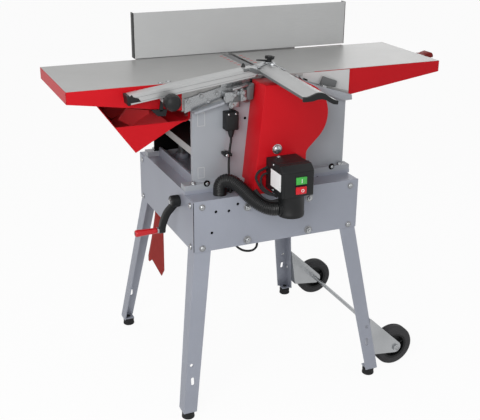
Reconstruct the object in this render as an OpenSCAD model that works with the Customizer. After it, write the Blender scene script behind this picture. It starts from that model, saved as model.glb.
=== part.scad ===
// Combination planer thicknesser on a sheet-metal stand.
// X runs along the planing tables to the right, Y to the fence side, Z up from the floor.

/* [Stand] */
// Length of the stand box, left to right
box_l = 472; // [450:1:500]
// Depth of the stand box, front to back
box_d = 440; // [420:1:470]
// Height of the stand panels
panel_h = 138; // [130:1:160]
// Height of the panels' lower edge above the floor
leg_rise = 444; // [400:1:500]
// Width of a leg's flanges
leg_w = 45; // [40:1:52]
// Width of a leg's flanges at the foot
leg_foot_w = 36; // [32:1:44]
// How far a leg leans out sideways
leg_splay_x = 60; // [40:1:80]
// How far a leg leans out to the front and rear
leg_splay_y = 72; // [50:1:90]
// Sheet thickness of the panels
sheet_t = 2; // [1.5:0.1:3]
// Sheet thickness of the legs
leg_t = 3; // [2:0.1:4]
// Diameter of a rubber foot
foot_d = 34; // [30:1:40]
// Height of a rubber foot
foot_h = 22; // [16:1:30]

/* [Wheels] */
// Diameter of a transport wheel
wheel_d = 118; // [110:1:126]
// Width of a transport wheel
wheel_w = 34; // [28:1:38]
// Diameter of the wheel axle
axle_d = 12; // [10:1:16]
// Distance of the axle beyond the stand box
wheel_reach = 132; // [125:1:150]

/* [Body] */
// Length of the body's side plates
body_l = 436; // [420:1:446]
// Free width between the side plates
plate_gap = 272; // [268:1:278]
// Thickness of a side plate
plate_t = 12; // [10:1:14]
// Height of the cutterblock's axis above the base
shaft_rise = 241.6; // [236:0.1:260]
// Height of the side plates' ends above the base
side_h = 203; // [195:1:208]
// Thickness of the base
base_t = 10; // [8:1:14]

/* [Cutterblock and feed] */
// Radius of the knives' cutting circle
knife_r = 35; // [33:0.5:36]
// Length of the cutterblock
block_l = 260; // [250:1:264]
// Radius of the cutterblock's shaft
shaft_r = 8.5; // [8:0.1:10]
// Radius of a feed roller
roller_r = 17; // [14:0.5:18]
// Distance of a feed roller from the cutterblock
roller_x = 62; // [58:1:66]

/* [Thicknesser] */
// Length of the thicknesser table
thick_l = 392; // [370:1:394]
// Width of the thicknesser table
thick_w = 252; // [244:1:258]
// Height of the thicknesser table's face above the base
thick_rise = 93; // [88:1:98]
// Travel of the thicknesser table upwards
lift_up = 65; // [50:1:70]
// Radius of the lift screw
screw_r = 8; // [7:0.1:9]
// Radius of a guide post
post_r = 10; // [8:0.1:12]
// Length of the crank arm's fall
crank_drop = 74; // [66:1:80]
// Length of the crank grip
grip_l = 64; // [55:1:75]

/* [Planing tables] */
// Overall length of the two planing tables
tables_l = 1036; // [1000:1:1080]
// Width of the planing tables
table_w = 290; // [286:1:292]
// Thickness of a planing table's plate
table_t = 8; // [7:0.5:9]
// Chip depth that the infeed table is set to
chip_depth = 2.5; // [1.5:0.1:3]
// Slope of the infeed table's ways
way_in_a = 22; // [20:0.5:24]
// Slope of the outfeed table's ways
way_out_a = 13.5; // [12:0.5:15]
// Height of the skirts at the tables' outer ends
skirt_h = 22; // [16:1:26]

/* [Fence] */
// Length of the fence
fence_l = 646; // [600:1:700]
// Height of the fence
fence_h = 122; // [110:1:140]
// Depth of the fence profile
fence_d = 22; // [20:1:24]
// Distance of the fence's middle from the cutterblock
fence_x = 61; // [50:1:70]

/* [Guard] */
// Length of the guard profile
guard_l = 313; // [290:1:325]
// Width of the guard profile
guard_w = 80; // [74:1:84]
// Length of the guard arm
arm_l = 325; // [310:1:345]
// Slope of the guard arm
arm_a = 7.4; // [6.5:0.1:8]

/* [Drive and switch] */
// Radius of the motor
motor_r = 56; // [50:1:58]
// Length of the motor
motor_l = 225; // [200:1:240]
// Radius of the cutterblock's pulley
small_pulley_r = 16; // [14:0.5:17]
// Radius of the motor's pulley
big_pulley_r = 36; // [32:0.5:38]
// Depth of the belt cover
cover_d = 80; // [76:1:86]
// Width of the switch box
switch_w = 80; // [74:1:86]
// Height of the switch box
switch_h = 82; // [78:1:84]

/* [Hidden] */
$fn = 48;

// Shared clearances: running fit on a radius, free gap of moving faces, overrun of a cut
fit = 0.05;
gap = 0.3;
over = 1;

// Colours
panel_grey = [0.60, 0.62, 0.66];
plate_grey = [0.66, 0.68, 0.70];
ground_grey = [0.70, 0.70, 0.71];
paint_red = [0.75, 0.11, 0.14];
zinc = [0.78, 0.80, 0.81];
steel = [0.55, 0.56, 0.58];
black = [0.15, 0.15, 0.16];
rubber = [0.25, 0.25, 0.25];
aluminium = [0.74, 0.75, 0.76];
start_green = [0.30, 0.65, 0.30];

// Heights of the main levels
half_l = box_l / 2;
half_d = box_d / 2;
box_z0 = leg_rise;
box_z1 = leg_rise + panel_h;
base_z1 = box_z1 + base_t;
cut_z = base_z1 + shaft_rise;
table_z = cut_z + knife_r;
plate_y = plate_gap / 2;
face_y = plate_y + plate_t;
rear_edge = table_w / 2;

// Stand panels
lip_w = 66;
lip_end = 48;
low_lip_w = 14;
hose_x = -153;
hose_y = -190;
hose_r = 13.5;
cable_x = -124;
cable_y = -190;
cable_r = 3;
belt_slot_l = 100;
belt_slot_w = 30;
panel_hole_r = 4;
panel_hole_shares = [[-0.743, 0.754], [-0.593, 0.735], [-0.489, 0.846], [-0.79, 0.35]];

// Bolts: heads on the panels, as shares of half the box and of the panel height
bolt_r = 6.5;
bolt_h = 5;
big_bolt_r = 8;
corner_share = 0.9;
corner_high_share = 0.88;
corner_low_share = 0.07;
mid_share = 0.375;
mid_high_share = 0.76;
mid_low_share = 0.1;

// Legs
leg_top_gap = 1;
leg_slot_l = 22;
leg_slot_r = 4.5;
leg_slot_z = 106;
leg_hole_z = 150;
tab_t = 3;
tab_inset = 4;
foot_inset = 18;
foot_taper = 3;

// Wheels and their brackets
bracket_t = 3;
bracket_tab_l = 36;
bracket_low_z = 53;
bracket_high_z = 173;
bracket_boss_r = 17;
near_splay_share = 2 / 3;
far_splay_share = 1 / 36;
near_plate_y = -half_d - near_splay_share * leg_splay_y;
plate_pitch = half_d + far_splay_share * leg_splay_y - near_plate_y;
axle_lift = 1.5;
nut_r = 10;
nut_h = 8;
wheel_gap = 2.5;
collar_w = 4;
hub_share = 0.62;
hub_dish = 7;
tyre_round = 6;
wheel_x = half_l + wheel_reach;
wheel_z = wheel_d / 2 + axle_lift;
near_wheel_y = near_plate_y + bracket_t + wheel_gap;
far_wheel_y = near_wheel_y + plate_pitch;

// Body
body_shift = 8;
base_over = 3;
foot_out = 17;
foot_step = 14;
wall_inset = 34;
base_wall_t = 6;
base_wall_h = 27;
ledge_least = 17;
ledge_over = 20;
ledge_out = max(ledge_least, rear_edge + ledge_over - face_y);
ledge_t = 6;
ledge_l = 88;
bearing_r = 17.5;
bush_r = 13;
roller_shaft_r = 8;
boss_wall = 4;
step_x = -42;
body_x0 = body_shift - body_l / 2;
body_x1 = body_shift + body_l / 2;
base_l = box_l + 2 * base_over;
wall_x = base_l / 2 - wall_inset;
ledge_start = body_x1 - ledge_l;
base_half_w = face_y + foot_out;
side_z = base_z1 + side_h;
plate_top = cut_z + bearing_r + boss_wall;
way_in_x = body_x1 - (plate_top - side_z) / tan(way_in_a);
way_step_z = side_z + (step_x - body_x0) * tan(way_out_a);
bar_r = 9;
bar_x = 150;
bar_rise = 205;
bar_z = base_z1 + bar_rise;
finger_shaft_r = 6;
finger_x = -98;
finger_fall = 23;
finger_z = cut_z - finger_fall;

// Cutterblock
block_inset = 1.2;
knife_t = 3;
knife_depth = 12;
knife_count = 3;
wedge_r = 9;
pulley_w = 24;
pulley_gap = 32;
flange_r_extra = 3;
flange_t = 2;
pulley_y0 = -face_y - pulley_gap - pulley_w;
belt_t = 4;
belt_w = 18;
belt_gap = 0.4;
belt_y0 = pulley_y0 + (pulley_w - belt_w) / 2;
motor_drop = 72;
motor_z = box_z1 - motor_drop;
motor_gap = 12;
motor_y0 = pulley_y0 + pulley_w + motor_gap;
motor_shaft_r = 8;
motor_shaft_in = 30;
saddle_w = 80;
saddle_l = 120;
fin_count = 18;
fin_t = 2;
fin_h = 3;

// Feed rollers
roller_drop = 1;
roller_z = cut_z - knife_r - roller_drop + roller_r;
sprocket_r = 13;
sprocket_w = 6;
sprocket_gap = 8;
chain_t = 4;
sprocket_y = face_y + sprocket_gap;
rear_d = 40;
rear_t = 2;
rear_low = 90;
rear_top_gap = 3;
rear_half_l = 92;
rear_lobe_in = 41;
rear_lobe_r = 52;
rear_lobe_drop = 44;
rear_lobe_x = body_x1 - rear_lobe_in;
finger_pitch = 20;
finger_t = 9;
finger_count = 12;
finger_drop = 30;
finger_w = 15;

// Thicknesser table and its lift
thick_t = 12;
end_t = 6;
end_h = 20;
rib_t = 8;
rib_h = 20;
post_in = 86;
post_x = half_l - post_in;
post_y = 100;
screw_x = -post_x;
screw_y = -117;
boss_r = 18;
boss_h = 14;
lift_reach = 12;
thick_z1 = base_z1 + thick_rise;
thick_z0 = thick_z1 - thick_t;
gear_r = 20;
gear_face = 8;
gear_teeth = 16;
tooth_w = 1.6;
tooth_top = 1.2;
tooth_root = 2.4;
gear_top_gap = 11;
nut_hub_r = 13;
nut_collar_r = 16;
nut_collar_h = 5;
gear_z = box_z1 - gear_top_gap - gear_r;
crank_r = 8;
crank_bush_t = 12;
crank_bush_r = 16;
crank_bush_in = 31;
crank_bush_x = -half_l + crank_bush_in;
hub_r = 16;
hub_l = 24;
hub_gap = 1;
arm_r = 8;
arm_out = 36;
grip_pin_r = 4;
grip_r = 8;
grip_end_r = 12;
grip_gap = 1;

// Planing tables
lip_x = 16;
lip_clear = 1.5;
chip_run = chip_depth / tan(way_in_a);
slot_w = 4;
slot_l = 10;
slot_pitch = 12;
slot_margin = 20;
slot_side_count = floor((rear_edge - slot_margin) / slot_pitch);
slot_edge = 5;
skirt_out = 9;
skirt_x = body_x1 + skirt_out;
skirt_fall = 41;
skirt_t = 2;
wall_t = 6;
way_gap = 0.2;
out_wall_x = -130;
end_x = tables_l / 2;
in_z = table_z - chip_depth;
lever_y = -25;
lever_w = 37;
lever_t = 8;
lever_l = 26;
lever_pin_r = 4;
lever_hub_r = 8;
lever_out = 12;
lever_drop = 14;
lug_t = 5;
lever_z = in_z - lever_drop;

// Brackets on the body's side
rail_over = 5;
rail_gap = 4;
rail_x0 = -skirt_x - rail_over;
rail_x1 = out_wall_x - rail_gap;
rail_h = 26;
rail_t = 5;
rail_drop = 54;
block_x = -84;
block_w = 26;
block_h = 40;
block_d = 26;
block_drop = 18;
clamp_plate_w = 44;
clamp_plate_d = 16;
clip_l = 44;
clip_h = 12;
clip_in = 7;
clip_x = ledge_start + clip_in;

// Fence
fence_gap = 5;
fence_lift = 1.6;
fence_wall = 4;
fence_rib_shares = [0.42, 0.8];
pin_back = 16;
pin_rise = 14;
pin_r = 5;
knuckle_r = 9;
knuckle_w = 12;
knuckle_x = 34;
bar_w = 24;
bar_h = 12;
bar_l = 165;
holder_w = 44;
holder_y = 36;
holder_l = 32;
holder_wall = 8;
holder_plate_h = 15;
holder_plate_t = 6;
holder_plate_w = 90;
fence_y = rear_edge + fence_gap;
fence_z = table_z + fence_lift;
pin_y = fence_y + pin_back;
pin_z = fence_z + pin_rise;

// Guard
guard_x = -6;
guard_back = 14;
guard_in = 17;
guard_yaw = -4.4;
guard_roll = 5.3;
guard_low = 9.4;
guard_rise = 20;
guard_t = 4;
cap_l = 6;
channel_t = 3;
channel_l = 66;
tongue_l = 11;
channel_in = 41;
arm_h = 22;
arm_d = 34;
arm_stand = 44;
arm_y = -rear_edge - arm_stand;
guard_y = arm_y + guard_back;
arm_end_x = -60;
arm_end_rise = 19;
pivot_out = 43;
pivot_x = rail_x0 - pivot_out;
pivot_drop = 30;
pivot_r = 5;
pivot_lug_r = 13;
pivot_lug_t = 8;
pivot_base_l = 48;
pivot_base_h = 44;
pivot_base_t = 3;
knob_r = 20;
knob_neck_r = 7;
knob_neck_l = 30;
thumb_r = 11;
thumb_h = 14;
thumb_stud_r = 4;
thumb_gap = 1.5;
thumb_y = 28;
knob_pin_l = 14;
guard_z = table_z + guard_low;
arm_end_z = table_z + arm_end_rise;
pivot_z = table_z - pivot_drop;
arm_y1 = arm_y + arm_d;
pivot_pin_y = arm_y1 - pivot_lug_t - gap - knob_pin_l;

// Chip hood
hood_t = 2;
hood_side_gap = 5;
tray_side_gap = 12;
hood_half_w = rear_edge - skirt_t - hood_side_gap;
tray_half_w = plate_y - tray_side_gap;
hood_left = 238;
hood_tip_x = 143;
hood_bend_x = 40;
hood_bend_drop = 13;
hood_flare_share = 1.13;
hood_top = 38;
hood_tip_drop = 168.5;
hood_floor_drop = 98;
hood_wall_drop = 99;
tray_end = 50;
tray_h = 18;
port_r = 36;
port_wall = 2;
port_l = 46;
port_x = -315;
port_drop = 100;
tray_z = table_z - hood_floor_drop;

// Belt cover
cover_t = 3;
cover_top_gap = 7;
cover_left_top = -48;
cover_left_low = -76;
cover_right = 70;
lobe_r = 85;
lobe_x = 44;
cover_neck = 98;
dome_r = 11;
dome_x = -9;
dome_rise = 112;
cover_y0 = -face_y - cover_d;
cover_top = table_z - cover_top_gap;

// Switch box
switch_d = 97;
switch_rise = 18;
switch_chamfer = 12;
lid_d = 22;
collar_r = 32;
collar_l = 54;
collar_inset = 42;
button_w = 29;
button_h = 23;
button_x = 7;
button_gap = 2;
button_out = 5;
button_in = 12;
stop_low = 8;
inlet_r = 16.5;
inlet_l = 36;
inlet_drop = 41;
switch_y = cover_y0 - switch_d;
switch_z = box_z1 + switch_rise;

// Limit switch and cables
limit_w = 34;
limit_h = 48;
limit_d = 26;
limit_x = -112;
limit_drop = 128;
gland_r = 8;
gland_l = 20;
limit_z = table_z - limit_drop;

// Push stick
stick_in = 32;
stick_x = -half_l + stick_in;
stick_y = 150;
stick_t = 10;
stick_w = 22;
stick_l = 305;
stick_foot_w = 46;
stick_prong = 55;
stick_edge = 16;
stick_flare = 128;
stick_neck = 198;
stick_tip = 9;
hook_r = 4;
hook_drop = 70;
stick_z = box_z1 - hook_drop;

// Cord routes: shares of the way from start to end, and for the hose and the loop of their height
gland_back = 16;
cable_in = 22;
cable_start = [limit_x, -face_y - gland_back, limit_z - gland_l];
cable_end = [cable_x, cable_y, box_z1 - cable_in];
cable_shares = [[0, 0, 0], [0, 0, 0.066], [0.333, 0.077, 0.19], [0.667, 0.231, 0.377],
    [0.917, 0.538, 0.564], [1, 0.846, 0.714], [1, 1, 0.813], [1, 1, 1]];
hose_in = 20;
hose_rise = 72;
hose_start = [hose_x, hose_y, box_z1 - hose_in];
hose_end = [-inlet_l, switch_y + collar_inset, switch_z - inlet_drop];
hose_shares = [[0, 0, 0], [0, 0, 0.25], [0, 0, 0.5], [0.01, 0.02, 0.695], [0.043, 0.075, 0.863],
    [0.103, 0.161, 0.976], [0.188, 0.269, 1], [0.291, 0.398, 0.957], [0.393, 0.538, 0.822],
    [0.487, 0.677, 0.632], [0.564, 0.806, 0.441], [0.624, 0.925, 0.248], [0.692, 0.989, 0.07],
    [0.795, 1, 0], [0.915, 1, 0], [1, 1, 0]];
loop_in = 10;
loop_drop = 156;
loop_seat = (motor_r + cable_r + gap) * cos(45);
loop_y = 23;
loop_start = [hose_x, hose_y, box_z1 - loop_in];
loop_end = [-loop_seat, motor_y0 + loop_y, motor_z - loop_seat];
loop_shares = [[0, 0, 0], [0, 0, 0.141], [0.045, -0.089, 0.397], [0.171, -0.178, 0.654],
    [0.351, -0.222, 0.846], [0.495, -0.222, 0.949], [0.658, -0.222, 1], [0.82, -0.222, 1],
    [0.928, -0.133, 0.949], [0.973, 0.111, 0.865], [0.991, 0.4, 0.788], [1, 0.711, 0.718]];
hose_ribs = 50;
hose_bore_r = 10;
hose_rib_h = 2;
cable_route = [for (s = cable_shares) cable_start + scaled(cable_end - cable_start, s)];
hose_route = [for (s = hose_shares) hose_start + [0, 0, s[2] * hose_rise]
    + scaled(hose_end - hose_start, [s[0], s[1], max(s[0], s[1])])];
loop_route = concat([for (s = loop_shares) loop_start - [0, 0, s[2] * loop_drop]
    + scaled(loop_end - loop_start, [s[0], s[1], 0])], [loop_end]);

// Outer limits, which set the origin under the middle of the whole object
x_min = -end_x;
x_max = end_x + lever_out + lever_l + lever_w / 2;
guard_far = guard_l + cap_l - guard_in;
y_min = guard_y - guard_far * cos(guard_yaw) + (guard_w / 2 + over) * cos(guard_roll) * sin(guard_yaw);
y_max = pin_y + knuckle_r + bar_l;
origin_x = (x_min + x_max) / 2;
origin_y = (y_min + y_max) / 2;

// Moves a piece from the cutterblock's frame to the part's own frame
module placed() {
    translate([-origin_x, -origin_y, 0]) children();
}

// Extrudes an outline in X and Z along Y, from y0 by a length
module along_y(y0, l) {
    translate([0, y0 + l, 0]) rotate([90, 0, 0]) linear_extrude(l) children();
}

module rod_x(r, x0, l, y, z) {
    translate([x0, y, z]) rotate([0, 90, 0]) cylinder(r = r, h = l);
}

module rod_y(r, y0, l, x, z) {
    translate([x, y0 + l, z]) rotate([90, 0, 0]) cylinder(r = r, h = l);
}

module rod_z(r, z0, l, x, y) {
    translate([x, y, z0]) cylinder(r = r, h = l);
}

// Box from its lowest to its highest corner
module block(a, b) {
    translate(a) cube([b[0] - a[0], b[1] - a[1], b[2] - a[2]]);
}

function scaled(v, s) = [v[0] * s[0], v[1] * s[1], v[2] * s[2]];

// Smooth tube along a route: one closed polyhedron with rings square to the route
function unit(v) = v / norm(v);
function tangent(p, i) = unit(p[min(i + 1, len(p) - 1)] - p[max(i - 1, 0)]);
function side_of(t) = unit(cross(t, abs(t[0]) < 0.9 ? [1, 0, 0] : [0, 1, 0]));
function ring(p, t, r, n) = let (u = side_of(t), w = cross(t, u))
    [for (k = [0 : n - 1]) p + r * (cos(360 * k / n) * u + sin(360 * k / n) * w)];

module tube(route, r, n) {
    rows = len(route);
    points = [for (i = [0 : rows - 1]) each ring(route[i], tangent(route, i), r, n)];
    walls = [for (i = [0 : rows - 2], k = [0 : n - 1]) each
        let (a = i * n + k, b = i * n + (k + 1) % n) [[a, b, b + n], [a, b + n, a + n]]];
    ends = [for (k = [1 : n - 2]) each
        [[0, k + 1, k], [(rows - 1) * n, (rows - 1) * n + k, (rows - 1) * n + k + 1]]];
    polyhedron(points, concat(walls, ends));
}

// Round-headed bolts on a face that looks along -Y or -X
module head_y(r, x, y, z) {
    rod_y(r, y - bolt_h, bolt_h, x, z);
}

module head_x(r, x, y, z) {
    rod_x(r, x - bolt_h, bolt_h, y, z);
}

// Stand panels: sheet with an upper and a lower lip turned inwards
module long_panel(side) {
    y0 = side < 0 ? -half_d : half_d - sheet_t;
    lip_y = side < 0 ? -half_d : half_d - lip_w;
    low_y = side < 0 ? -half_d : half_d - low_lip_w;
    low_l = half_l - leg_w - leg_t;
    block([-half_l, y0, box_z0], [half_l, y0 + sheet_t, box_z1]);
    block([-half_l + sheet_t, lip_y, box_z1 - sheet_t], [half_l - sheet_t, lip_y + lip_w, box_z1]);
    block([-low_l, low_y, box_z0], [low_l, low_y + low_lip_w, box_z0 + sheet_t]);
}

module stand_front_panel() {
    slot_y = belt_y0 + belt_w / 2 - belt_slot_w / 2;
    color(panel_grey) placed() difference() {
        long_panel(-1);
        block([-belt_slot_l / 2, slot_y, box_z1 - sheet_t - over],
            [belt_slot_l / 2, slot_y + belt_slot_w, box_z1 + over]);
        rod_z(hose_r + hose_rib_h + gap, box_z1 - sheet_t - over, sheet_t + 2 * over, hose_x, hose_y);
        rod_z(cable_r + gap, box_z1 - sheet_t - over, sheet_t + 2 * over, cable_x, cable_y);
        for (p = panel_hole_shares)
            rod_y(panel_hole_r, -half_d - over, sheet_t + 2 * over, p[0] * half_l, box_z0 + p[1] * panel_h);
    }
}

module stand_rear_panel() {
    color(panel_grey) placed() long_panel(1);
}

module end_panel(side) {
    x0 = side < 0 ? -half_l : half_l - sheet_t;
    lip_x0 = side < 0 ? -half_l : half_l - lip_end / 2;
    lip_half = half_d - lip_w - sheet_t;
    block([x0, -half_d + sheet_t, box_z0], [x0 + sheet_t, half_d - sheet_t, box_z1 - sheet_t]);
    block([lip_x0, -lip_half, box_z1 - sheet_t], [lip_x0 + lip_end / 2, lip_half, box_z1]);
}

module stand_left_panel() {
    color(panel_grey) placed() difference() {
        end_panel(-1);
        rod_x(crank_r + fit, -half_l - over, lip_end, screw_y, gear_z);
    }
}

module stand_right_panel() {
    color(panel_grey) placed() end_panel(1);
}

// One leg: an angle that stands upright in the box, then leans out and narrows to the foot
module leg_flange(along_x_side) {
    x = half_l - sheet_t;
    y = half_d - sheet_t;
    top = along_x_side ? [leg_w, leg_t] : [leg_t, leg_w];
    foot = along_x_side ? [leg_foot_w, leg_t] : [leg_t, leg_foot_w];
    hull() {
        block([x - top[0], y - top[1], box_z0 - leg_t], [x, y, box_z0]);
        translate([leg_splay_x, leg_splay_y, 0])
            block([x - foot[0], y - foot[1], foot_h], [x, y, foot_h + leg_t]);
    }
    block([x - top[0], y - top[1], box_z0 - leg_t], [x, y, box_z1 - sheet_t - leg_top_gap]);
}

module leg(sx, sy) {
    foot_x = half_l - sheet_t + leg_splay_x;
    foot_y = half_d - sheet_t + leg_splay_y;
    slot_half = leg_slot_l / 2 - leg_slot_r;
    mirror([sx < 0 ? 1 : 0, 0, 0]) mirror([0, sy < 0 ? 1 : 0, 0]) difference() {
        union() {
            leg_flange(true);
            leg_flange(false);
            block([foot_x - leg_foot_w + tab_inset, foot_y - leg_foot_w + tab_inset, foot_h],
                [foot_x - leg_t / 2, foot_y - leg_t / 2, foot_h + tab_t]);
        }
        for (z = [leg_slot_z - slot_half, leg_slot_z + slot_half, leg_hole_z])
            rod_y(leg_slot_r, half_d, leg_splay_y + over, leg_mid(leg_slot_z), z);
        block([leg_mid(leg_slot_z) - leg_slot_r, half_d, leg_slot_z - slot_half],
            [leg_mid(leg_slot_z) + leg_slot_r, foot_y + over, leg_slot_z + slot_half]);
    }
}

function leg_lean(z) = (box_z0 - z) / (box_z0 - foot_h - leg_t);
function leg_width(z) = leg_w - (leg_w - leg_foot_w) * leg_lean(z);
function leg_mid(z) = half_l - sheet_t + leg_splay_x * leg_lean(z) - leg_width(z) / 2;

module leg_front_left() {
    color(panel_grey) placed() leg(-1, -1);
}

module leg_front_right() {
    color(panel_grey) placed() leg(1, -1);
}

module leg_rear_left() {
    color(panel_grey) placed() leg(-1, 1);
}

module leg_rear_right() {
    color(panel_grey) placed() leg(1, 1);
}

module rubber_feet() {
    foot_x = half_l - sheet_t + leg_splay_x - foot_inset;
    foot_y = half_d - sheet_t + leg_splay_y - foot_inset;
    color(rubber) placed() for (sx = [-1, 1], sy = [-1, 1])
        translate([sx * foot_x, sy * foot_y, 0])
            cylinder(r1 = foot_d / 2, r2 = foot_d / 2 - foot_taper, h = foot_h);
}

module stand_bolts() {
    color(zinc) placed() {
        for (sx = [-1, 1], share = [corner_low_share, corner_high_share]) {
            z = box_z0 + share * panel_h;
            head_y(bolt_r, sx * corner_share * half_l, -half_d, z);
            mirror([0, 1, 0]) head_y(bolt_r, sx * corner_share * half_l, -half_d, z);
            head_x(bolt_r, -half_l, sx * corner_share * half_d, z);
            mirror([1, 0, 0]) head_x(bolt_r, -half_l, sx * corner_share * half_d, z);
        }
        for (sx = [-1, 1], share = [mid_low_share, mid_high_share])
            head_y(big_bolt_r, sx * mid_share * half_l, -half_d, box_z0 + share * panel_h);
        for (y = [near_plate_y, far_wheel_y + wheel_w + nut_h + gap])
            rod_ring(nut_r, axle_d / 2 + fit, y - nut_h, nut_h);
        for (sx = [-1, 1], y = [-face_y - foot_out / 2, face_y + foot_out / 2])
            rod_z(bolt_r, base_z1 + foot_step, bolt_h, sx * corner_share * half_l, y);
        stick_hook();
    }
}

module rod_ring(r_out, r_in, y0, l) {
    difference() {
        rod_y(r_out, y0, l, wheel_x, wheel_z);
        rod_y(r_in, y0 - over, l + 2 * over, wheel_x, wheel_z);
    }
}

// Hook on the left panel that the push stick hangs from
module stick_hook() {
    reach = stick_x + half_l - sheet_t;
    rod_x(hook_r - over, -half_l + sheet_t, reach, stick_y - hook_r - gap - hook_r, stick_z);
    rod_y(hook_r, stick_y - 2 * hook_r - gap - hook_r, stick_t + 4 * hook_r, stick_x, stick_z);
}

// Wheel brackets: a plate in X and Z with a tab turned along the leg's outer face
function leg_face_x(z) = half_l - sheet_t + leg_splay_x * leg_lean(z);

module wheel_bracket(y0) {
    tab = [[leg_face_x(bracket_high_z), bracket_high_z], [leg_face_x(bracket_low_z), bracket_low_z],
        [leg_face_x(bracket_low_z) + bracket_t, bracket_low_z],
        [leg_face_x(bracket_high_z) + bracket_t, bracket_high_z]];
    difference() {
        union() {
            along_y(y0, bracket_tab_l) polygon(tab);
            along_y(y0, bracket_t) hull() {
                polygon(tab);
                translate([wheel_x, wheel_z]) circle(r = bracket_boss_r, $fn = 32);
            }
        }
        rod_y(axle_d / 2 + fit, y0 - over, bracket_t + 2 * over, wheel_x, wheel_z);
    }
}

module wheel_brackets() {
    color(zinc) placed() {
        wheel_bracket(near_plate_y);
        wheel_bracket(near_plate_y + plate_pitch);
    }
}

module wheel_axle() {
    end_y = far_wheel_y + wheel_w + nut_h + gap;
    color(steel) placed() {
        rod_y(axle_d / 2, near_plate_y - nut_h, end_y - near_plate_y + nut_h, wheel_x, wheel_z);
        rod_y(nut_r, near_wheel_y + wheel_w + gap, collar_w, wheel_x, wheel_z);
        rod_y(nut_r, far_wheel_y - collar_w / 2, collar_w / 2 - gap, wheel_x, wheel_z);
    }
}

// A wheel: dished hub with a boss on the axle, and a tyre round it
module wheel(y0) {
    hub_rim = hub_share * wheel_d / 2;
    translate([wheel_x, y0 + wheel_w, wheel_z]) rotate([90, 0, 0]) {
        rotate_extrude() difference() {
            translate([axle_d / 2 + fit, 0]) square([hub_rim - axle_d / 2 - fit, wheel_w]);
            for (z = [-over, wheel_w - hub_dish])
                translate([nut_r + hub_dish, z]) square([hub_rim - nut_r - 2 * hub_dish, hub_dish + over]);
        }
        rotate_extrude() difference() {
            translate([hub_rim, 0]) square([wheel_d / 2 - hub_rim, wheel_w]);
            for (z = [0, wheel_w])
                translate([wheel_d / 2, z]) rotate(45) square(tyre_round, center = true);
        }
    }
}

module front_wheel() {
    color(rubber) placed() wheel(near_wheel_y);
}

module rear_wheel() {
    color(rubber) placed() wheel(far_wheel_y);
}

// Base of the body: plate on the stand, with bosses for the posts and the crank's bearing
module body_base() {
    color(plate_grey) placed() difference() {
        union() {
            block([-base_l / 2, -base_half_w, box_z1], [base_l / 2, base_half_w, base_z1]);
            for (p = post_places())
                rod_z(boss_r, box_z1, base_t + boss_h, p[0], p[1]);
            for (x = [-wall_x, wall_x - base_wall_t])
                block([x, -plate_y, base_z1 - over], [x + base_wall_t, plate_y, base_z1 + base_wall_h]);
            rod_x(crank_bush_r, crank_bush_x, crank_bush_t, screw_y, gear_z);
            block([crank_bush_x, screw_y - crank_bush_r, gear_z],
                [crank_bush_x + crank_bush_t, screw_y + crank_bush_r, box_z1]);
        }
        for (p = post_places())
            rod_z(post_r + fit, box_z1 - over, base_t + boss_h + 2 * over, p[0], p[1]);
        rod_z(nut_hub_r + fit, box_z1 - over, base_t + 2 * over, screw_x, screw_y);
        rod_x(crank_r + fit, crank_bush_x - over, crank_bush_t + 2 * over, screw_y, gear_z);
    }
}

function post_places() = [[post_x, -post_y], [post_x, post_y], [-post_x, post_y]];

// Side plates: foot on the base, sloped ways on top, bores for the bearings
module side_plate() {
    y0 = -face_y;
    difference() {
        union() {
            along_y(y0, plate_t) polygon([[body_x0, base_z1], [body_x1, base_z1], [body_x1, side_z],
                [way_in_x, plate_top], [step_x, plate_top], [step_x, way_step_z], [body_x0, side_z]]);
            block([-base_l / 2 + over, -base_half_w, base_z1],
                [base_l / 2 - over, -plate_y, base_z1 + foot_step]);
            along_y(-face_y - ledge_out, ledge_out) polygon([[body_x1, side_z], [body_x1, side_z - ledge_t],
                [ledge_start, ledge_in_z(ledge_start) - ledge_t], [ledge_start, ledge_in_z(ledge_start)]]);
            along_y(-face_y - ledge_out, ledge_out) polygon([[body_x0, side_z], [body_x0, side_z - ledge_t],
                [out_wall_x, ledge_out_z(out_wall_x) - ledge_t], [out_wall_x, ledge_out_z(out_wall_x)]]);
            block([body_x0, -plate_y - over, tray_z - ledge_t],
                [tray_end, -tray_half_w + ledge_t, tray_z - 2 * fit]);
        }
        plate_bore(bearing_r, 0, cut_z);
        for (x = [-roller_x, roller_x])
            plate_bore(bush_r, x, roller_z);
        plate_bore(finger_shaft_r, finger_x, finger_z);
    }
}

function ledge_in_z(x) = side_z + (body_x1 - x) * tan(way_in_a);
function ledge_out_z(x) = side_z + (x - body_x0) * tan(way_out_a);

module plate_bore(r, x, z) {
    rod_y(r + fit, -face_y - over, plate_t + 2 * over, x, z);
}

module body_front_plate() {
    color(plate_grey) placed() side_plate();
}

module body_rear_plate() {
    color(plate_grey) placed() mirror([0, 1, 0]) side_plate();
}

module bearing(r_out, r_in, x, z) {
    for (y0 = [-face_y, plate_y])
        difference() {
            rod_y(r_out, y0, plate_t, x, z);
            rod_y(r_in + fit, y0 - over, plate_t + 2 * over, x, z);
        }
}

module shaft_bearings() {
    color(steel) placed() {
        bearing(bearing_r, shaft_r, 0, cut_z);
        for (x = [-roller_x, roller_x])
            bearing(bush_r, roller_shaft_r, x, roller_z);
    }
}

// Tie bar between the plates and the shaft of the anti-kickback fingers
module cross_bars() {
    color(zinc) placed() {
        rod_y(bar_r, -plate_y, plate_gap, bar_x, bar_z);
        rod_y(finger_shaft_r, -face_y, 2 * face_y, finger_x, finger_z);
    }
}

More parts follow.
